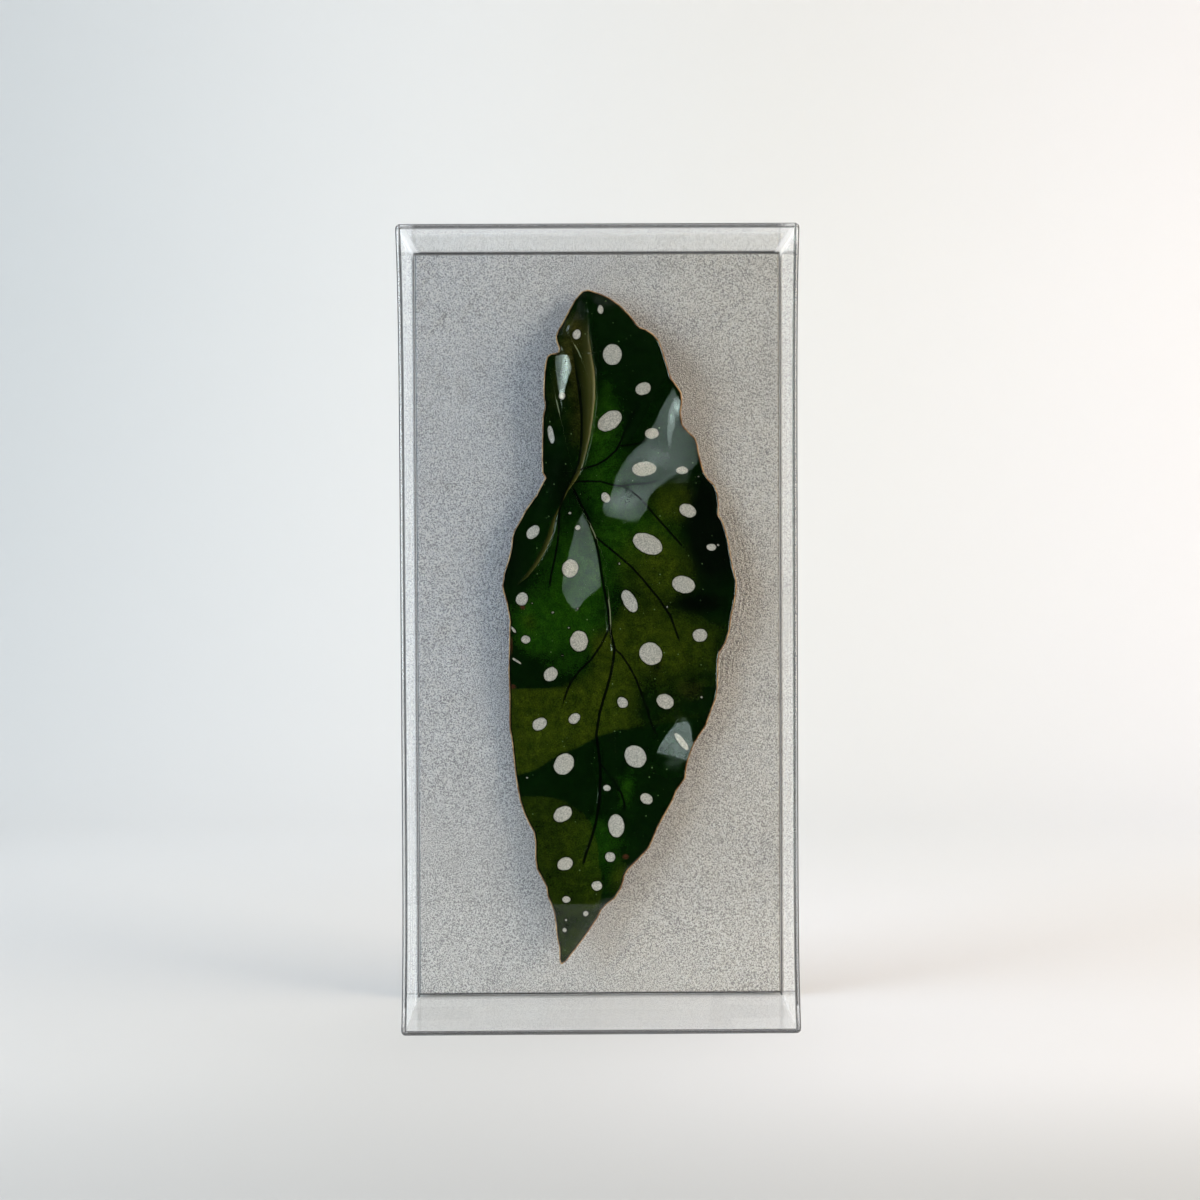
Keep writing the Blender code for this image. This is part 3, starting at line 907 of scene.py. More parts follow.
def add_up_slopes(x, z):
    """Heights of a grid of rows, from their slopes added up outwards from the spine."""
    right = slope_right(x, z)
    left = slope_left(x, z)
    beyond = smooth(x - spine_at(z), -0.6, 0.6)
    slope = left * (1 - beyond) + right * beyond
    steps = np.diff(x, axis=1) * (slope[:, 1:] + slope[:, :-1]) / 2
    height = np.concatenate([np.zeros_like(x[:, :1]), np.cumsum(steps, axis=1)], axis=1)
    spine = spine_at(z[:, 0])
    for row in range(len(height)):
        height[row] -= np.interp(spine[row], x[row], height[row])
    return height + across_at(SPINE_HEIGHT, z)


def relax_down(height, passes):
    """Evens out the heights a little from row to row."""
    for _ in range(passes):
        inner = height[1:-1] * 0.5 + (height[:-2] + height[2:]) * 0.25
        height = np.concatenate([height[:1], inner, height[-1:]])
    return height


print("slope at the middle of the leaf:", round(float(slope_right(10.0, WIDEST_UP)), 3))

# %% [markdown]
# Leaning the panels. A mirror shows the camera a place when its normal halves the angle
# between the two. So each panel knows the slope it needs. The rest of the leaf keeps the
# differences in height that it has now, as nearly as it can while the panels are turned:
# that is a least-squares problem with one unknown per point, solved by conjugate gradients.


# %% Slopes that the panels need
# Places, in metres, that open lamina mirrors at most: just left of the window, and in
# front of the table
BESIDE_WINDOW = (0.10, -1.05, 0.22)
BEFORE_TABLE = (0.0, -0.5, 0.0)
LEAF_OFF_CARD = 5.0


def unit(vectors):
    return vectors / np.linalg.norm(vectors, axis=-1, keepdims=True)


def mirror_slopes(x, z, aim):
    """Slopes across and up with which the leaf mirrors a place towards the camera."""
    here = in_case(x, z, LEAF_OFF_CARD)
    half = unit(np.array(CAMERA_PLACE) - here) + unit(np.array(aim) - here)
    return half[..., 0] / half[..., 1], half[..., 2] / half[..., 1]


def panel_slopes(x, z):
    """Where the panels are and the slopes that they need, and a wider guard round them."""
    mask, guard = np.zeros_like(x), np.zeros_like(x)
    slope_x, slope_z = np.zeros_like(x), np.zeros_like(x)
    for left, right, aims, aim_up in PANELS:
        share = np.interp(z, (left[-1][1], left[0][1]), aims[::-1])
        aim_x = WINDOW_PLACE.x + (share - 0.5) * WINDOW_WIDTH
        aim = np.stack([aim_x, np.full_like(x, WINDOW_PLACE.y), np.full_like(x, aim_up)], axis=-1)
        lean_x, lean_z = mirror_slopes(x, z, aim)
        inside = panel_mask(x, z, left, right)
        slope_x = np.where(inside > mask, lean_x, slope_x)
        slope_z = np.where(inside > mask, lean_z, slope_z)
        mask = np.maximum(mask, inside)
        guard = np.maximum(guard, panel_mask(x, z, left, right, soft=3.5, reach=3.0))
    return mask, guard, slope_x, slope_z


window_slopes = mirror_slopes(0.0, WIDEST_UP, WINDOW_PLACE)
print("slopes that mirror the window:", [round(float(slope), 3) for slope in window_slopes])

# %% [markdown]
# Solving for the relief. The leaf is a grid, and every link between two neighbours wants
# a certain difference in height. No surface gives all of them, so each link is a spring,
# stiffer on the panels, and the best surface is the one where the springs pull evenly.
# Conjugate gradients find it in about a thousand passes, all of them plain sums.


# %% Turning the panels to the window
LEAF_ROWS, LEAF_COLUMNS = 384, 118
PANEL_STIFFNESS = 30.0
GUARD_STIFFNESS = 10.0
GUARD_LEAN = 0.07
HOLD_IN_PLACE = 0.0005
NARROWEST_COLUMN = 0.05
SOLVER_STEPS = 1200


def between(values, axis):
    """Values half way between neighbours along an axis."""
    if axis == 1:
        return (values[:, 1:] + values[:, :-1]) / 2
    return (values[1:] + values[:-1]) / 2


def wanted_steps(height, x, z, panels):
    """The difference in height that each link wants, and how strongly, along rows and down columns."""
    mask, guard, slope_x, slope_z = panels
    least_x, _ = mirror_slopes(x, z, BESIDE_WINDOW)
    _, most_z = mirror_slopes(x, z, BEFORE_TABLE)
    wanted, weight = [], []
    for axis, limit in ((1, least_x), (0, most_z)):
        share = between(mask, axis)
        step_x, step_z = np.diff(x, axis=axis), np.diff(z, axis=axis)
        turned = between(slope_x, axis) * step_x + between(slope_z, axis) * step_z
        step = step_x if axis == 1 else step_z
        as_now = np.maximum(np.diff(height, axis=axis), between(limit, axis) * step)
        if axis == 1:
            as_now = as_now + GUARD_LEAN * between(guard, axis) * step_x
        wanted.append(as_now * (1 - share) + turned * share)
        weight.append(1 + (PANEL_STIFFNESS - 1) * share + GUARD_STIFFNESS * between(guard, axis))
    return wanted, weight


def gather(across, down):
    """Adds what flows along the links of the grid into its points."""
    total = np.zeros((across.shape[0], down.shape[1]))
    total[:, 1:] += across
    total[:, :-1] -= across
    total[1:] += down
    total[:-1] -= down
    return total


def settle(height, wanted, weight, hold):
    """Lets all links pull until the heights rest, by conjugate gradients."""
    def pull(values):
        rows, columns = (weight[i] * np.diff(values, axis=axis) for i, axis in ((0, 1), (1, 0)))
        return gather(rows, columns) + hold * values

    stiffness = hold.copy()
    stiffness[:, :-1] += weight[0]
    stiffness[:, 1:] += weight[0]
    stiffness[:-1] += weight[1]
    stiffness[1:] += weight[1]
    left_over = gather(weight[0] * wanted[0], weight[1] * wanted[1]) + hold * height - pull(height)
    direction = left_over / stiffness
    size = np.sum(left_over * direction)
    for _ in range(SOLVER_STEPS):
        pulled = pull(direction)
        stride = size / np.sum(direction * pulled)
        height = height + stride * direction
        left_over = left_over - stride * pulled
        eased = left_over / stiffness
        new_size = np.sum(left_over * eased)
        direction = eased + direction * (new_size / size)
        size = new_size
    print("panels turned, left over", float(np.abs(left_over).max()))
    return height


def turn_panels(height, x, z):
    """Heights whose panels mirror the window, with the rest changed as little as possible."""
    panels = panel_slopes(x, z)
    wanted, weight = wanted_steps(height, x, z, panels)
    width = np.abs(between(np.diff(x, axis=1), 0))
    width = np.concatenate([width[:1], width], axis=0)
    row_gap = (LEAF_TOP - LEAF_TIP) / LEAF_ROWS
    weight[0] = weight[0] * row_gap / np.maximum(width, NARROWEST_COLUMN)
    full_width = np.concatenate([width, width[:, -1:]], axis=1)
    weight[1] = weight[1] * full_width[1:] / row_gap
    return settle(height, wanted, weight, HOLD_IN_PLACE * full_width * (1 - panels[0]))


print("solver ready:", SOLVER_STEPS, "passes over", LEAF_ROWS, "rows")

# %% [markdown]
# From relief to mesh. The rows are 0.6 mm apart. Within a row the points are crowded
# towards both edges, because the rim of the leaf is rounded and only half a millimetre
# wide. The front carries the veins, the back is smoother, and both are joined round the
# edge, so the leaf is one closed body 1.2 mm thick.


# %% Leaf mesh
EDGE_OFFSETS = (0.0, 0.12, 0.28, 0.5, 0.8, 1.2, 1.8)
# Where the leaf is narrower than this, the points beside its edges are squeezed together
FULL_OFFSETS_WIDTH = 14.0
EDGE_ROUNDING = 0.55
LEAST_OFF_CARD = 0.35
# Swellings: how high and how wide in millimetres, and the seed of their pattern
SWELLINGS = ((0.35, 17.0, 11), (0.16, 7.0, 12))
EVENING_PASSES = 6
FOLD_STEEPNESS, FOLD_WIDEST, CREASE_DEPTH = 0.26, 4.5, 0.07
VEIN_SPREAD = 0.9
VEIN_DEPTHS = {"vein_main": 0.1, "vein_first": 0.06, "vein_second": 0.06, "vein_third": 0.04}


def leaf_grid():
    """Across and up for each point of the leaf's rows."""
    up = np.linspace(LEAF_TOP, LEAF_TIP, LEAF_ROWS + 1)
    left, right = across_at(LEFT_EDGE, up), across_at(RIGHT_EDGE, up)
    width = right - left
    crowd = np.minimum(1.0, width / FULL_OFFSETS_WIDTH)
    rows = []
    inner_count = LEAF_COLUMNS + 1 - 2 * len(EDGE_OFFSETS)
    for z, start, end, squeeze in zip(up, left, right, crowd):
        offsets = np.array(EDGE_OFFSETS) * squeeze
        inner = np.linspace(start + offsets[-1], end - offsets[-1], inner_count + 2)[1:-1]
        rows.append(np.concatenate([start + offsets, inner, (end - offsets)[::-1]]))
    x = np.array(rows)
    z = np.repeat(up[:, None], x.shape[1], axis=1)
    return x, z


def leaf_relief(x, z, veins, edge, fold):
    """Height of the leaf's front and back off the card, in millimetres."""
    height = relax_down(add_up_slopes(x, z), EVENING_PASSES)
    flat = np.stack([x, z], axis=-1)
    height += sum(high * (soft_noise(flat, wide, seed) - 0.5) for high, wide, seed in SWELLINGS)
    height = turn_panels(height, x, z)
    width = across_at(FOLD_EDGE, z) - across_at(FOLD_CREASE, z)
    share = 1 + fold / width
    ridge = smooth(share, -0.1, 0.85) * (1 - smooth(fold, -0.25, 0.55))
    ridge = ridge * np.minimum(width, FOLD_WIDEST) * FOLD_STEEPNESS
    height += ridge * smooth(-z, -232, -214)
    crease = hump(fold + width + 0.4, 0.7) * smooth(z, 150, 180) * smooth(-z, -222, -212)
    height -= crease * CREASE_DEPTH
    back = height - LEAF_THICKNESS
    for name, strength in VEIN_DEPTHS.items():
        height -= strength * hump(veins[name], VEIN_SPREAD)
    rounding = np.clip(1 - edge / EDGE_ROUNDING, 0, 1)
    round_over = EDGE_ROUNDING * (1 - np.sqrt(1 - rounding**2))
    low = LEAST_OFF_CARD - np.minimum(back, LEAST_OFF_CARD)
    return height + low - round_over, back + low + round_over * 0.6


leaf_x, leaf_z = leaf_grid()
leaf_flat = np.stack([leaf_x, leaf_z], axis=-1)
vein_distances = {name: signed_distance(leaf_flat, chains) for name, chains in VEIN_GROUPS.items()}
fold_offset = leaf_x - across_at(FOLD_EDGE, leaf_z)
leaf_edge = edge_distance(leaf_flat)
leaf_front, leaf_back = leaf_relief(leaf_x, leaf_z, vein_distances, leaf_edge, fold_offset)
print("leaf front stands %.2f to %.2f mm off the card" % (leaf_front.min(), leaf_front.max()))

# %% [markdown]
# The leaf's colours. Under the clear coat lies a thin dry leaf: dark green that turns
# olive in soft-edged areas, with specks of dust, silver-white spots with a fine grain and
# a thin dark rim, near-black veins, an olive fold, and a tan line along the cut edge with
# a dark line inside it. Some marks are painted light: shade along the fold's crease, a
# highlight on the fold's crest, thin highlight lines and a few glints. All of it is colour,
# one mark laid over the other, and each mark is a function that takes the tone so far and
# gives it back with the mark on it.


# %% Ground and fold of the leaf
def leaf_ground(leaf, fine, mottle, cloud):
    """Green in its shades: each soft area of colour is laid over the ones before it."""
    uneven = mottle.rise(0.25, 0.8)
    deep = uneven.blend(colour(3, 21, 2), colour(9, 33, 5))
    green = uneven.blend(colour(17, 54, 5), colour(38, 78, 10))
    olive = uneven.blend(colour(33, 49, 5), colour(63, 77, 13))
    brown = uneven.blend(colour(38, 40, 9), colour(64, 64, 26))
    tone = (leaf.measure("green") + (cloud - 0.5) * 0.9).rise(0.1, 0.9).blend(deep, green)
    tone = (leaf.measure("olive") + (cloud - 0.5) * 0.8).rise(0.15, 0.95).blend(tone, olive)
    tone = (leaf.measure("brown") + (mottle - 0.5) * 0.3).rise(0.2, 0.9).blend(tone, brown)
    tone = (leaf.measure("rust") + (mottle - 0.5) * 0.4).rise(0.3, 0.8).blend(tone, colour(74, 44, 30))
    tone = (leaf.measure("dark") + (cloud - 0.5) * 0.4).rise(0.1, 0.95).blend(tone, colour(3, 11, 3))
    tone = tone.shaded(0.6 + fine.rise(0.3, 0.75) * 0.85)
    inputs = {"Vector": leaf.place, "Scale": 1 / (3.0 * MM), "Randomness": 1.0}
    speck = leaf.start.node("TexVoronoi", inputs=inputs)
    return (speck.fall(0.05, 0.1) * cloud.rise(0.4, 0.6) * 0.8).blend(tone, colour(110, 135, 90))


# The fold's olive, darkened by painted shade beside the crease and lightened by a painted highlight at the
# crest
FOLD_SHADE_AND_HIGHLIGHT_STOPS = (
    (0.0, colour(12, 20, 4)[:3]), (0.45, colour(48, 50, 14)[:3]),
    (0.8, colour(78, 78, 38)[:3]), (1.0, colour(120, 118, 72)[:3]),
)


def with_fold(leaf, tone):
    """The fold goes from dark beside its crease to pale at its crest: painted shade and a painted
    highlight over its olive.
    """
    fold_shading = leaf.start.node("ValToRGB", {"stops": FOLD_SHADE_AND_HIGHLIGHT_STOPS}, {"Fac": leaf.measure("fold_share")})
    on_fold = leaf.measure("fold_side").fall(-0.12, 0.12) * leaf.measure("crease_side").rise(-0.2, 0.3)
    tone = (on_fold * leaf.measure("fold_strength")).blend(tone, fold_shading)
    # painted shade: a dark line along the crease
    crease = abs(leaf.measure("crease_side") + 0.1).fall(0.15, 0.55) * leaf.measure("crease_strength")
    return (crease * 0.9).blend(tone, colour(4, 8, 3))


print("fold in", len(FOLD_SHADE_AND_HIGHLIGHT_STOPS), "tones")

# %% [markdown]
# Lines and spots. A vein is a line wherever its distance is under about half a
# millimetre. The same holds for the rims of the spots and for the edge of the leaf, each
# from the distance that the mesh stores. A little noise added to a distance makes a line
# waver, as a grown thing does.


# %% Veins, spots and edge of the leaf
def vein_lines(leaf):
    vein = abs(leaf.measure("vein_main")).fall(0.3, 0.62)
    for name in ("vein_first", "vein_second", "vein_third"):
        vein = vein.most(abs(leaf.measure(name)).fall(0.22, 0.5) * 0.95)
    return vein


def with_spots(leaf, tone, fine):
    """Silver ovals, greener beside their rims, with a dark line round each; three of them are painted
    highlights.
    """
    spot = leaf.measure("spot") + (leaf.noise(1.6 * MM, detail=2.0) - 0.5) * 0.5
    tone = (spot.fall(0.12, 0.5) * 0.65).blend(tone, colour(6, 14, 7))
    silver = fine.rise(0.3, 0.7).blend(colour(160, 161, 152), colour(222, 219, 209))
    silver = (spot.rise(-0.4, -0.1) * 0.35).blend(silver, colour(128, 130, 116))
    return spot.fall(-0.14, 0.05).blend(tone, silver)


def with_edge(leaf, tone, mottle):
    """A tan line along the edge, and a dark one inside it."""
    edge = leaf.measure("edge") + (leaf.noise(2.2 * MM, detail=2.0) - 0.5) * 0.25
    tone = (edge.fall(0.6, 1.1) * 0.85).blend(tone, colour(8, 8, 4))
    tan = mottle.rise(0.35, 0.65).blend(colour(112, 78, 46), colour(196, 162, 116))
    return edge.fall(0.26, 0.5).blend(tone, tan)


print("marks of the leaf ready")

# %% [markdown]
# The leaf's finish put together. The leaf itself is matt. Its gloss is the shader's coat,
# a second clear layer on top with a smooth surface of its own, and how much coat there is
# comes from the mesh, so that each panel mirrors the window as strongly as it should. The
# back of the leaf is dull red, as this plant has it.


# %% Leaf finish
def make_leaf_finish():
    leaf = Finish(
        "coated_leaf",
        Specular_IOR_Level=0.0,
        Coat_Weight=1.0,
        Coat_Roughness=0.035,
        Coat_IOR=1.6,
    )
    fine = leaf.noise(0.4 * MM, detail=2.0, roughness=0.6)
    mottle = leaf.noise(3.2 * MM, detail=5.0, roughness=0.65)
    cloud = leaf.noise(11 * MM, detail=3.0, roughness=0.6)
    vein = vein_lines(leaf)

    tone = with_fold(leaf, leaf_ground(leaf, fine, mottle, cloud))
    tone = (vein * 0.95).blend(tone, colour(2, 5, 3))
    # painted highlights: thin pale lines along the fold, beside veins and on the flap
    pale = abs(leaf.measure("pale_line")).fall(0.08, 0.26)
    tone = (pale * 0.6).blend(tone, colour(170, 180, 140))
    tone = with_edge(leaf, with_spots(leaf, tone, fine), mottle)
    under = fine.blend(colour(70, 22, 20), colour(104, 40, 34))
    leaf.feed("Base Color", leaf.measure("underside").rise(0.4, 0.6).blend(tone, under))

    leaf.feed("Roughness", 0.5 + fine * 0.2)
    leaf.feed("Coat Weight", leaf.measure("gloss") * (0.5 + fine) * (1 - vein * 0.6))
    grain = fine * 0.5 + leaf.noise(1.4 * MM, detail=2.0) * 0.5
    leaf.feed("Normal", leaf.bump(grain, 0.05 * MM, strength=0.4))
    return leaf.material


leaf_finish = make_leaf_finish()
print("leaf finish with", len(leaf_finish.node_tree.nodes), "nodes")

# %% [markdown]
# Where the colours lie. The green turns olive, brown or nearly black in soft patches. A
# patch is a centre, two half widths and a strength, and patches of one colour are added
# up. Two olive areas have a definite edge on the real leaf, as if a tide had stopped
# there, so they are bounded by lines instead.


# %% Areas of colour
# Centre across and down, half width and half height in the photograph's pixels, strength
AREAS = {
    "green": (
        (575, 600, 36, 70, 1.0), (603, 440, 24, 62, 0.8), (645, 545, 45, 42, 0.75),
        (533, 625, 22, 27, 1.0), (602, 850, 28, 48, 0.5), (627, 790, 10, 20, 0.6),
    ),
    "olive": (
        (665, 645, 50, 28, 0.7), (676, 502, 26, 20, 0.8), (657, 568, 44, 38, 0.9), (600, 645, 13, 16, 0.6),
        # the olive patch at (530, 622) is a painted yellowish highlight
        (622, 880, 16, 20, 0.6), (530, 622, 12, 13, 0.5),
    ),
    "brown": ((574, 335, 13, 24, 0.9), (552, 405, 10, 45, 0.4), (692, 690, 20, 16, 0.5)),
    "rust": (
        (523, 607, 3, 3, 1.0), (513, 687, 4, 3, 0.9), (626, 858, 4, 3, 1.0), (719, 692, 3, 12, 0.8),
        (511, 645, 3, 14, 0.7),
    ),
    "dark": (
        (717, 527, 30, 54, 1.7), (697, 604, 32, 11, 0.9), (657, 665, 9, 15, 0.6),
        (690, 660, 10, 9, 0.4), (551, 400, 5, 50, 0.15), (562, 480, 20, 34, 0.6),
        (512, 560, 14, 34, 0.6), (668, 860, 32, 44, 0.5), (600, 742, 30, 14, 0.3),
    ),
}
OLIVE_TOP = ((-29.7, 104.0), (-12.9, 104.3), (-4.6, 108.3), (0.3, 115.3), (4.3, 123.5), (9.0, 130.0))
OLIVE_BOTTOM = ((-27.4, 75.0), (-19.5, 77.3), (-12.9, 82.3), (-7.9, 83.9), (-0.7, 87.9), (6.9, 90.5),
                (16.8, 91.2), (36.0, 94.0))
FLAP_WIDTH = 9.0
LOBE_TOP = ((-25.1, 68.4), (-17.8, 68.4), (-10.9, 67.1), (-5.3, 63.4), (-2.3, 59.1), (-0.3, 52.6),
            (0.3, 44.3))


def up_at(line, across):
    """How high a line lies at each place across, for a line that runs to the right."""
    return np.interp(across, *np.array(line).T)


def blobs(x, z, table):
    """Soft round patches added up."""
    total = np.zeros_like(x)
    for across, down, half_width, half_height, strength in table:
        middle_x, middle_z = from_photo(across, down)
        wide, high = half_width * PHOTO_SCALE, half_height * PHOTO_SCALE
        total += strength * np.exp(-(((x - middle_x) / wide) ** 2) - ((z - middle_z) / high) ** 2)
    return total


def olive_areas(x, z):
    """Where the green turns olive: a band across the middle, a lobe low on the left, and soft areas."""
    soft = np.interp(x, (-17.0, -6.0), (0.6, 7.0))
    fade = np.interp(x, (6.0, 16.0), (0.9, 0.3))
    band = smooth((up_at(OLIVE_TOP, x) - z) / soft, -1, 1) * smooth(z - up_at(OLIVE_BOTTOM, x), -1.2, 1.2)
    lobe = smooth(up_at(LOBE_TOP, x) - z, -0.8, 0.8) * smooth(1.0 - x, -1.0, 1.0)
    return np.clip(band * fade + 0.5 * lobe + blobs(x, z, AREAS["olive"]), 0, 1)


def brown_areas(x, z):
    """Where it is olive brown: the flap beside the crease, and the tip of the leaf above it."""
    flap_share = (across_at(FOLD_CREASE, z) - x) / FLAP_WIDTH
    flap = smooth(z, 172, 190) * smooth(-z, -222, -212) * np.clip(1 - flap_share, 0, 1) * (flap_share > 0)
    return np.clip(0.65 * flap + blobs(x, z, AREAS["brown"]), 0, 1)


print("soft areas:", {name: len(table) for name, table in AREAS.items()})

# %% [markdown]
# The coat. It is a hard clear layer, and the photograph shows each leaning panel as a
# patch of pale light with brighter and dimmer parts. So the coat is plain all over, thin
# along the fold and the main vein, nearly gone just outside the panels, where stray light
# would blur their outlines, and set for each panel on its own.


# %% Amount of coat
# How much coat each panel has, then where it is thicker or thinner, as in AREAS
PANEL_GLOSS = (0.105, 0.088, 0.235, 0.14)
GLOSS_AREAS = (
    (677, 407, 3.6, 6, 0.9), (672, 419, 2.4, 8, 0.8), (669.8, 434, 1.5, 12, 0.4), (655, 458, 15, 11, 0.12),
    (622, 502, 12, 9, 0.2), (640, 495, 10, 8, 0.06), (567, 362, 4, 12, 0.8), (565, 380, 3.5, 13, 0.7),
    (562.5, 394, 2.6, 5, 0.6), (697, 446, 9, 18, -0.06), (592, 575, 10, 22, 0.04), (660, 752, 8, 5, -0.08),
)
# Places outside the panels where stray light would show in the coat
STRAY_LIGHT = ((670, 768, 12, 8, 2.6), (597, 762, 3, 10, 1.5), (604.5, 612, 3.5, 20, 2.2))
OPEN_GLOSS, FOLD_GLOSS, GUARD_GLOSS, LEAST_GLOSS = 0.45, 0.08, 0.03, 0.02
# The guard round a panel fades out between these distances from its rim, in millimetres
GUARD_FADE = (2.6, 4.2)


def coat_gloss(x, z):
    """How much coat there is: plain all over, thin along the fold, and set for each panel."""
    points = np.stack([x, z], axis=-1)
    guard = np.zeros_like(x)
    inner = np.zeros_like(x)
    for (left, right, _, _), level in zip(PANELS, PANEL_GLOSS):
        from_rim = np.abs(signed_distance(points, [left + right[::-1]]))
        share = panel_mask(x, z, left, right, soft=0.45, reach=0.0)
        guard = np.maximum(guard, np.maximum(share, 1 - smooth(from_rim, *GUARD_FADE)))
        inner += share * np.clip(level + blobs(x, z, GLOSS_AREAS), LEAST_GLOSS, 1)
    guard = np.maximum(guard, np.clip(blobs(x, z, STRAY_LIGHT), 0, 1))
    fold = hump(fold_offset - 0.6, 1.8) * smooth(z, 137, 146)
    fold = np.maximum(fold, 0.9 * hump(vein_distances["vein_main"], 1.4))
    open_gloss = OPEN_GLOSS * (1 - fold) + FOLD_GLOSS * fold
    return open_gloss * (1 - guard) + GUARD_GLOSS * guard + inner


print("coat on the panels:", PANEL_GLOSS)

# %% [markdown]
# The leaf as an object. The mesh is made from its two grids, and everything that the
# finish asks for by name is stored on it.


# %% Leaf object
def make_leaf():
    front = in_case(leaf_x, leaf_z, leaf_front)
    back = in_case(leaf_x, leaf_z, leaf_back)
    leaf = mesh_from_grids("coated_leaf", front, back, leaf_finish)
    crease_side = leaf_x - across_at(FOLD_CREASE, leaf_z)
    values = dict(vein_distances)
    values["edge"] = leaf_edge
    values["spot"] = spot_distance(leaf_flat)
    values["fold_side"] = fold_offset
    values["crease_side"] = crease_side
    values["fold_share"] = np.clip(crease_side / np.maximum(crease_side - fold_offset, 0.1), 0, 1)
    values["fold_strength"] = smooth(leaf_z, 137, 146) * smooth(-leaf_z, -228, -204)
    values["crease_strength"] = smooth(leaf_z, 160, 172) * smooth(-leaf_z, -214, -206)
    values["olive"] = olive_areas(leaf_x, leaf_z)
    values["brown"] = brown_areas(leaf_x, leaf_z)
    for name in ("green", "rust", "dark"):
        values[name] = blobs(leaf_x, leaf_z, AREAS[name])
    values["gloss"] = coat_gloss(leaf_x, leaf_z)
    values["pale_line"] = signed_distance(leaf_flat, PAINTED_HIGHLIGHT_LINES)
    for name, numbers in values.items():
        store(leaf, name, np.tile(numbers.ravel(), 2))
    store(leaf, "underside", np.repeat([0.0, 1.0], leaf_x.size))
    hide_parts("leaf")
    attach(leaf, "root")
    return leaf


leaf = make_leaf()
print("leaf:", len(leaf.data.polygons), "faces")

# %% [markdown]
# The glue. Three small pads hold the leaf off the card. They hardly show, so the solids
# stay, and only get a finish: cloudy dried glue, a little yellow.


# %% Glue finish
def make_glue_finish():
    glue = Finish("dried_glue", Coat_Weight=0.3, Coat_Roughness=0.2)
    cloud = glue.noise(1.5 * MM, detail=3.0)
    glue.feed("Base Color", cloud.blend(colour(196, 186, 150), colour(226, 218, 190)))
    glue.feed("Roughness", 0.3 + cloud * 0.25)
    glue.feed("Normal", glue.bump(cloud, 0.1 * MM, strength=0.5))
    return glue.material


glue_finish = make_glue_finish()
glue_dots = [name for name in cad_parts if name.startswith("glue_dot")]
for name in glue_dots:
    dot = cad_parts[name]
    dot.data.materials.clear()
    dot.data.materials.append(glue_finish)
print("glue dots:", len(glue_dots))

# %% [markdown]
# The clear cover. It is one sheet of clear plastic bent into a tray: a front, a top, a
# bottom and two sides, all 1.2 mm thick, with edges that are rounded where the sheet
# turns. An open box with bevelled edges, thickened inwards, gives exactly that, round
# corners inside as well as outside. Real thickness matters here, because the thin dark
# and bright lines along the edges are light bent by the rounded corners.

# %% Cover mesh
OUTER_RADIUS = 1.5 * MM
SIDE_BOW = 0.8 * MM
EDGE_SUPPORT = 1.8 * MM
EDGE_SEGMENTS = 5
# How many parts each side is cut into: across, back and up
COVER_CUTS = (6, 3, 30)
BACK_RIM_INSET = 0.05 * MM


def shape_side(co):
    """Draws the sides in between their stiff corners, less towards the back."""
    rise = min(max(co.z / CASE_SIZE.z, 0.0), 1.0)
    forward = (cover_high.y - co.y) / CASE_SIZE.y
    drawn_in = SIDE_BOW * forward * (1 - (2 * rise - 1) ** 6)
    side = co.x / (CASE_SIZE.x / 2)
    co.x -= drawn_in * side


def cut_places(axis):
    """Cuts across the sheet: evenly spaced ones, and one beside each rounded edge to keep it tight."""
    low, high = cover_low[axis], cover_high[axis]
    count = COVER_CUTS[axis]
    inner = [low + (high - low) * step / count for step in range(1, count)]
    return [low + EDGE_SUPPORT, *inner, high - EDGE_SUPPORT]


def place_number(place):
    """One number for a place, so that parts can be sorted and each run gives the same order."""
    return round(place.x / MM * 100) * 1e11 + round(place.y / MM * 100) * 1e5 + round(place.z / MM * 100)


def make_cover(finish):
    bm = bmesh.new()
    bmesh.ops.create_cube(bm, size=1)
    for vertex in bm.verts:
        vertex.co = Vector(vertex.co[i] * CASE_SIZE[i] + CASE_MIDDLE[i] for i in range(3))
    back = [face for face in bm.faces if face.normal.y > 0.9]
    bmesh.ops.delete(bm, geom=back, context="FACES_ONLY")
    turned = [edge for edge in bm.edges if len(edge.link_faces) == 2]
    rounding = {"offset": OUTER_RADIUS, "segments": EDGE_SEGMENTS, "profile": 0.5}
    bmesh.ops.bevel(bm, geom=turned, affect="EDGES", **rounding)
    for axis in range(3):
        normal = Vector(float(i == axis) for i in range(3))
        for place in cut_places(axis):
            everything = bm.verts[:] + bm.edges[:] + bm.faces[:]
            bmesh.ops.bisect_plane(bm, geom=everything, plane_co=normal * place, plane_no=normal)
    names = ("from_side", "from_top", "from_front")
    from_side, from_top, from_front = (bm.verts.layers.float.new(name) for name in names)
    for vertex in bm.verts:
        vertex[from_side] = (CASE_SIZE.x / 2 - abs(vertex.co.x)) / MM
        vertex[from_top] = (cover_high.z - vertex.co.z) / MM
        vertex[from_front] = (vertex.co.y - cover_low.y) / MM
        shape_side(vertex.co)
        vertex.co.y = min(vertex.co.y, cover_high.y - BACK_RIM_INSET)
    bm.verts.sort(key=lambda vertex: place_number(vertex.co))
    bm.edges.sort(key=lambda edge: place_number((edge.verts[0].co + edge.verts[1].co) / 2))
    bm.faces.sort(key=lambda face: place_number(face.calc_center_median()))
    bmesh.ops.recalc_face_normals(bm, faces=bm.faces)
    mesh = bpy.data.meshes.new("clear_case")
    bm.to_mesh(mesh)
    bm.free()
    mesh.shade_smooth()
    mesh.materials.append(finish)
    cover = add_object("clear_case", mesh)
    sheet = cover.modifiers.new("sheet thickness", "SOLIDIFY")
    sheet.thickness = WALL
    sheet.offset = -1
    sheet.use_even_offset = True
    sheet.use_quality_normals = True
    return cover


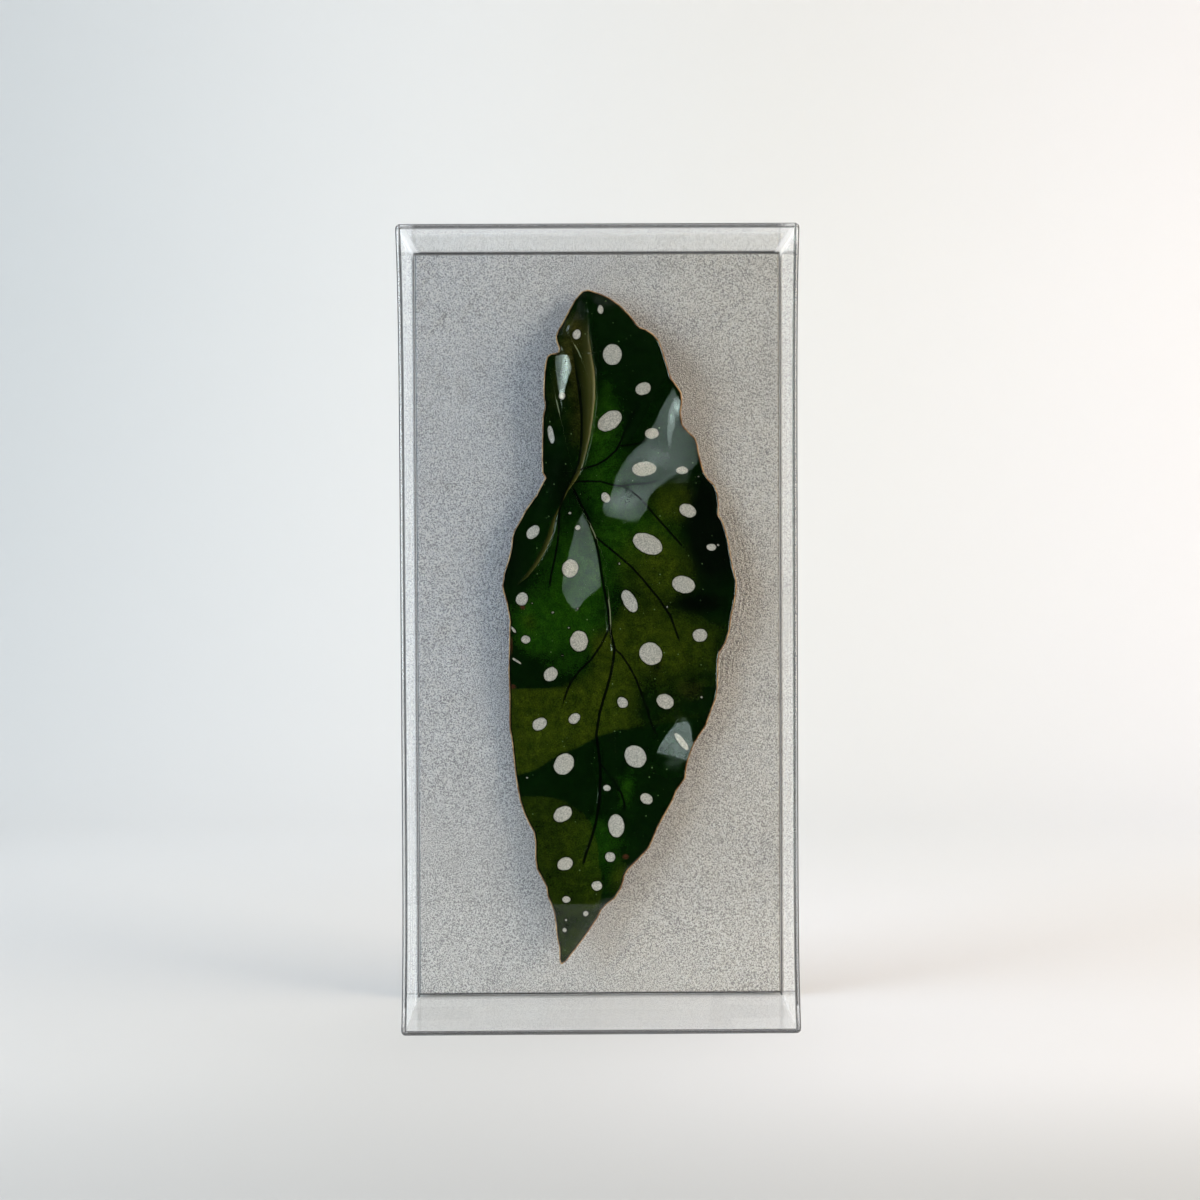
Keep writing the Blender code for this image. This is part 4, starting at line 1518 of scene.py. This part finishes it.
print("cover cut in", COVER_CUTS, "parts")

# %% [markdown]
# The cover's finish. Clear plastic is nearly nothing but its edges: light is bent and
# lost in the rounded corners, which therefore show as thin grey lines, and the side and
# top walls, seen at a grazing angle, look milky towards the front. Real refraction gives
# part of this. The lines are painted shade, added by mixing in a grey shader, and so is a
# dark line along the walls' back rim; the haze is added by mixing in a milky shader. Both
# are placed by the distances from the sides, the top and the front that the mesh stores.


# %% Cover finish
def haze_masks(plastic, from_side, from_top, from_front):
    """Where the walls look milky: the side walls, most of all on the left, the top, and the corners."""
    streak = plastic.noise(6 * MM, detail=3.0, stretch=(1, 1, 0.05))
    side_wall = from_side.fall(1.3, 1.6) * from_front.rise(2.0, 3.5)
    top_wall = from_top.fall(1.3, 1.6) * from_front.rise(2.0, 3.5)
    side_haze = side_wall * from_front.fall(38, 44.5) * (0.16 + streak.rise(0.35, 0.7) * 0.16)
    side_haze = side_haze * (1 - plastic.along(0).rise(0.0, 0.01) * 0.4)
    top_haze = top_wall * from_front.fall(9, 19) * 0.25
    corner = from_side.fall(2.6, 3.6) * from_top.fall(2.6, 3.6) * from_front.rise(1.5, 2.5) * 0.4
    return side_haze.most(top_haze).most(corner), side_wall.most(top_wall)


def edge_lines(from_side, from_top, from_floor, from_front):
    """Painted shade: thin lines where the front turns into its walls."""
    line = abs(from_side - 0.1).fall(0.25, 0.5).most(abs(from_side - 1.4).fall(0.1, 0.28) * 0.75)
    line = line.most(abs(from_top - 0.1).fall(0.15, 0.4)).most(abs(from_top - 1.45).fall(0.1, 0.3) * 0.5)
    line = line.most(abs(from_floor - 0.7).fall(0.4, 0.9) * 0.8)
    return line * from_front.fall(1.5, 2.2) * 0.9


def make_plastic_finish():
    plastic = Finish("clear_plastic", Transmission_Weight=1.0, IOR=1.31, Base_Color=(0.985, 0.99, 0.99, 1))
    cloud = plastic.noise(40 * MM, detail=3.0)
    plastic.feed("Roughness", 0.004 + cloud.rise(0.5, 0.8) * 0.01)
    names = ("from_side", "from_top", "from_front")
    from_side, from_top, from_front = (plastic.measure(name) for name in names)
    haze, walls = haze_masks(plastic, from_side, from_top, from_front)
    lines = edge_lines(from_side, from_top, CASE_SIZE.z / MM - from_top, from_front)
    # painted shade: a dark line along the walls' back rim
    rim = from_front.rise(44.0, 44.6) * walls * 0.8

    inputs = {"Base Color": colour(246, 247, 250), "Roughness": 0.6}
    matt = plastic.start.node("BsdfPrincipled", inputs=inputs)
    through = plastic.start.node("BsdfTranslucent", inputs={"Color": colour(250, 250, 252)})
    milk = plastic.start.node("MixShader", inputs={0: 0.5, 1: matt, 2: through})
    hazy = plastic.start.node("MixShader", inputs={0: haze, 1: plastic.principled, 2: milk})
    inputs = {"Base Color": colour(70, 71, 74), "Roughness": 0.5, "Specular IOR Level": 0.1}
    shade = plastic.start.node("BsdfPrincipled", inputs=inputs)
    mixed = plastic.start.node("MixShader", inputs={0: lines.most(rim), 1: hazy, 2: shade})
    plastic.material.node_tree.links.new(mixed.socket, plastic.surface)
    return plastic.material


cover = make_cover(make_plastic_finish())
cover.visible_shadow = False
cover.visible_diffuse = False
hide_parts("clear_cover")
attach(cover, "root")
print("cover:", len(cover.data.polygons), "faces before thickening")
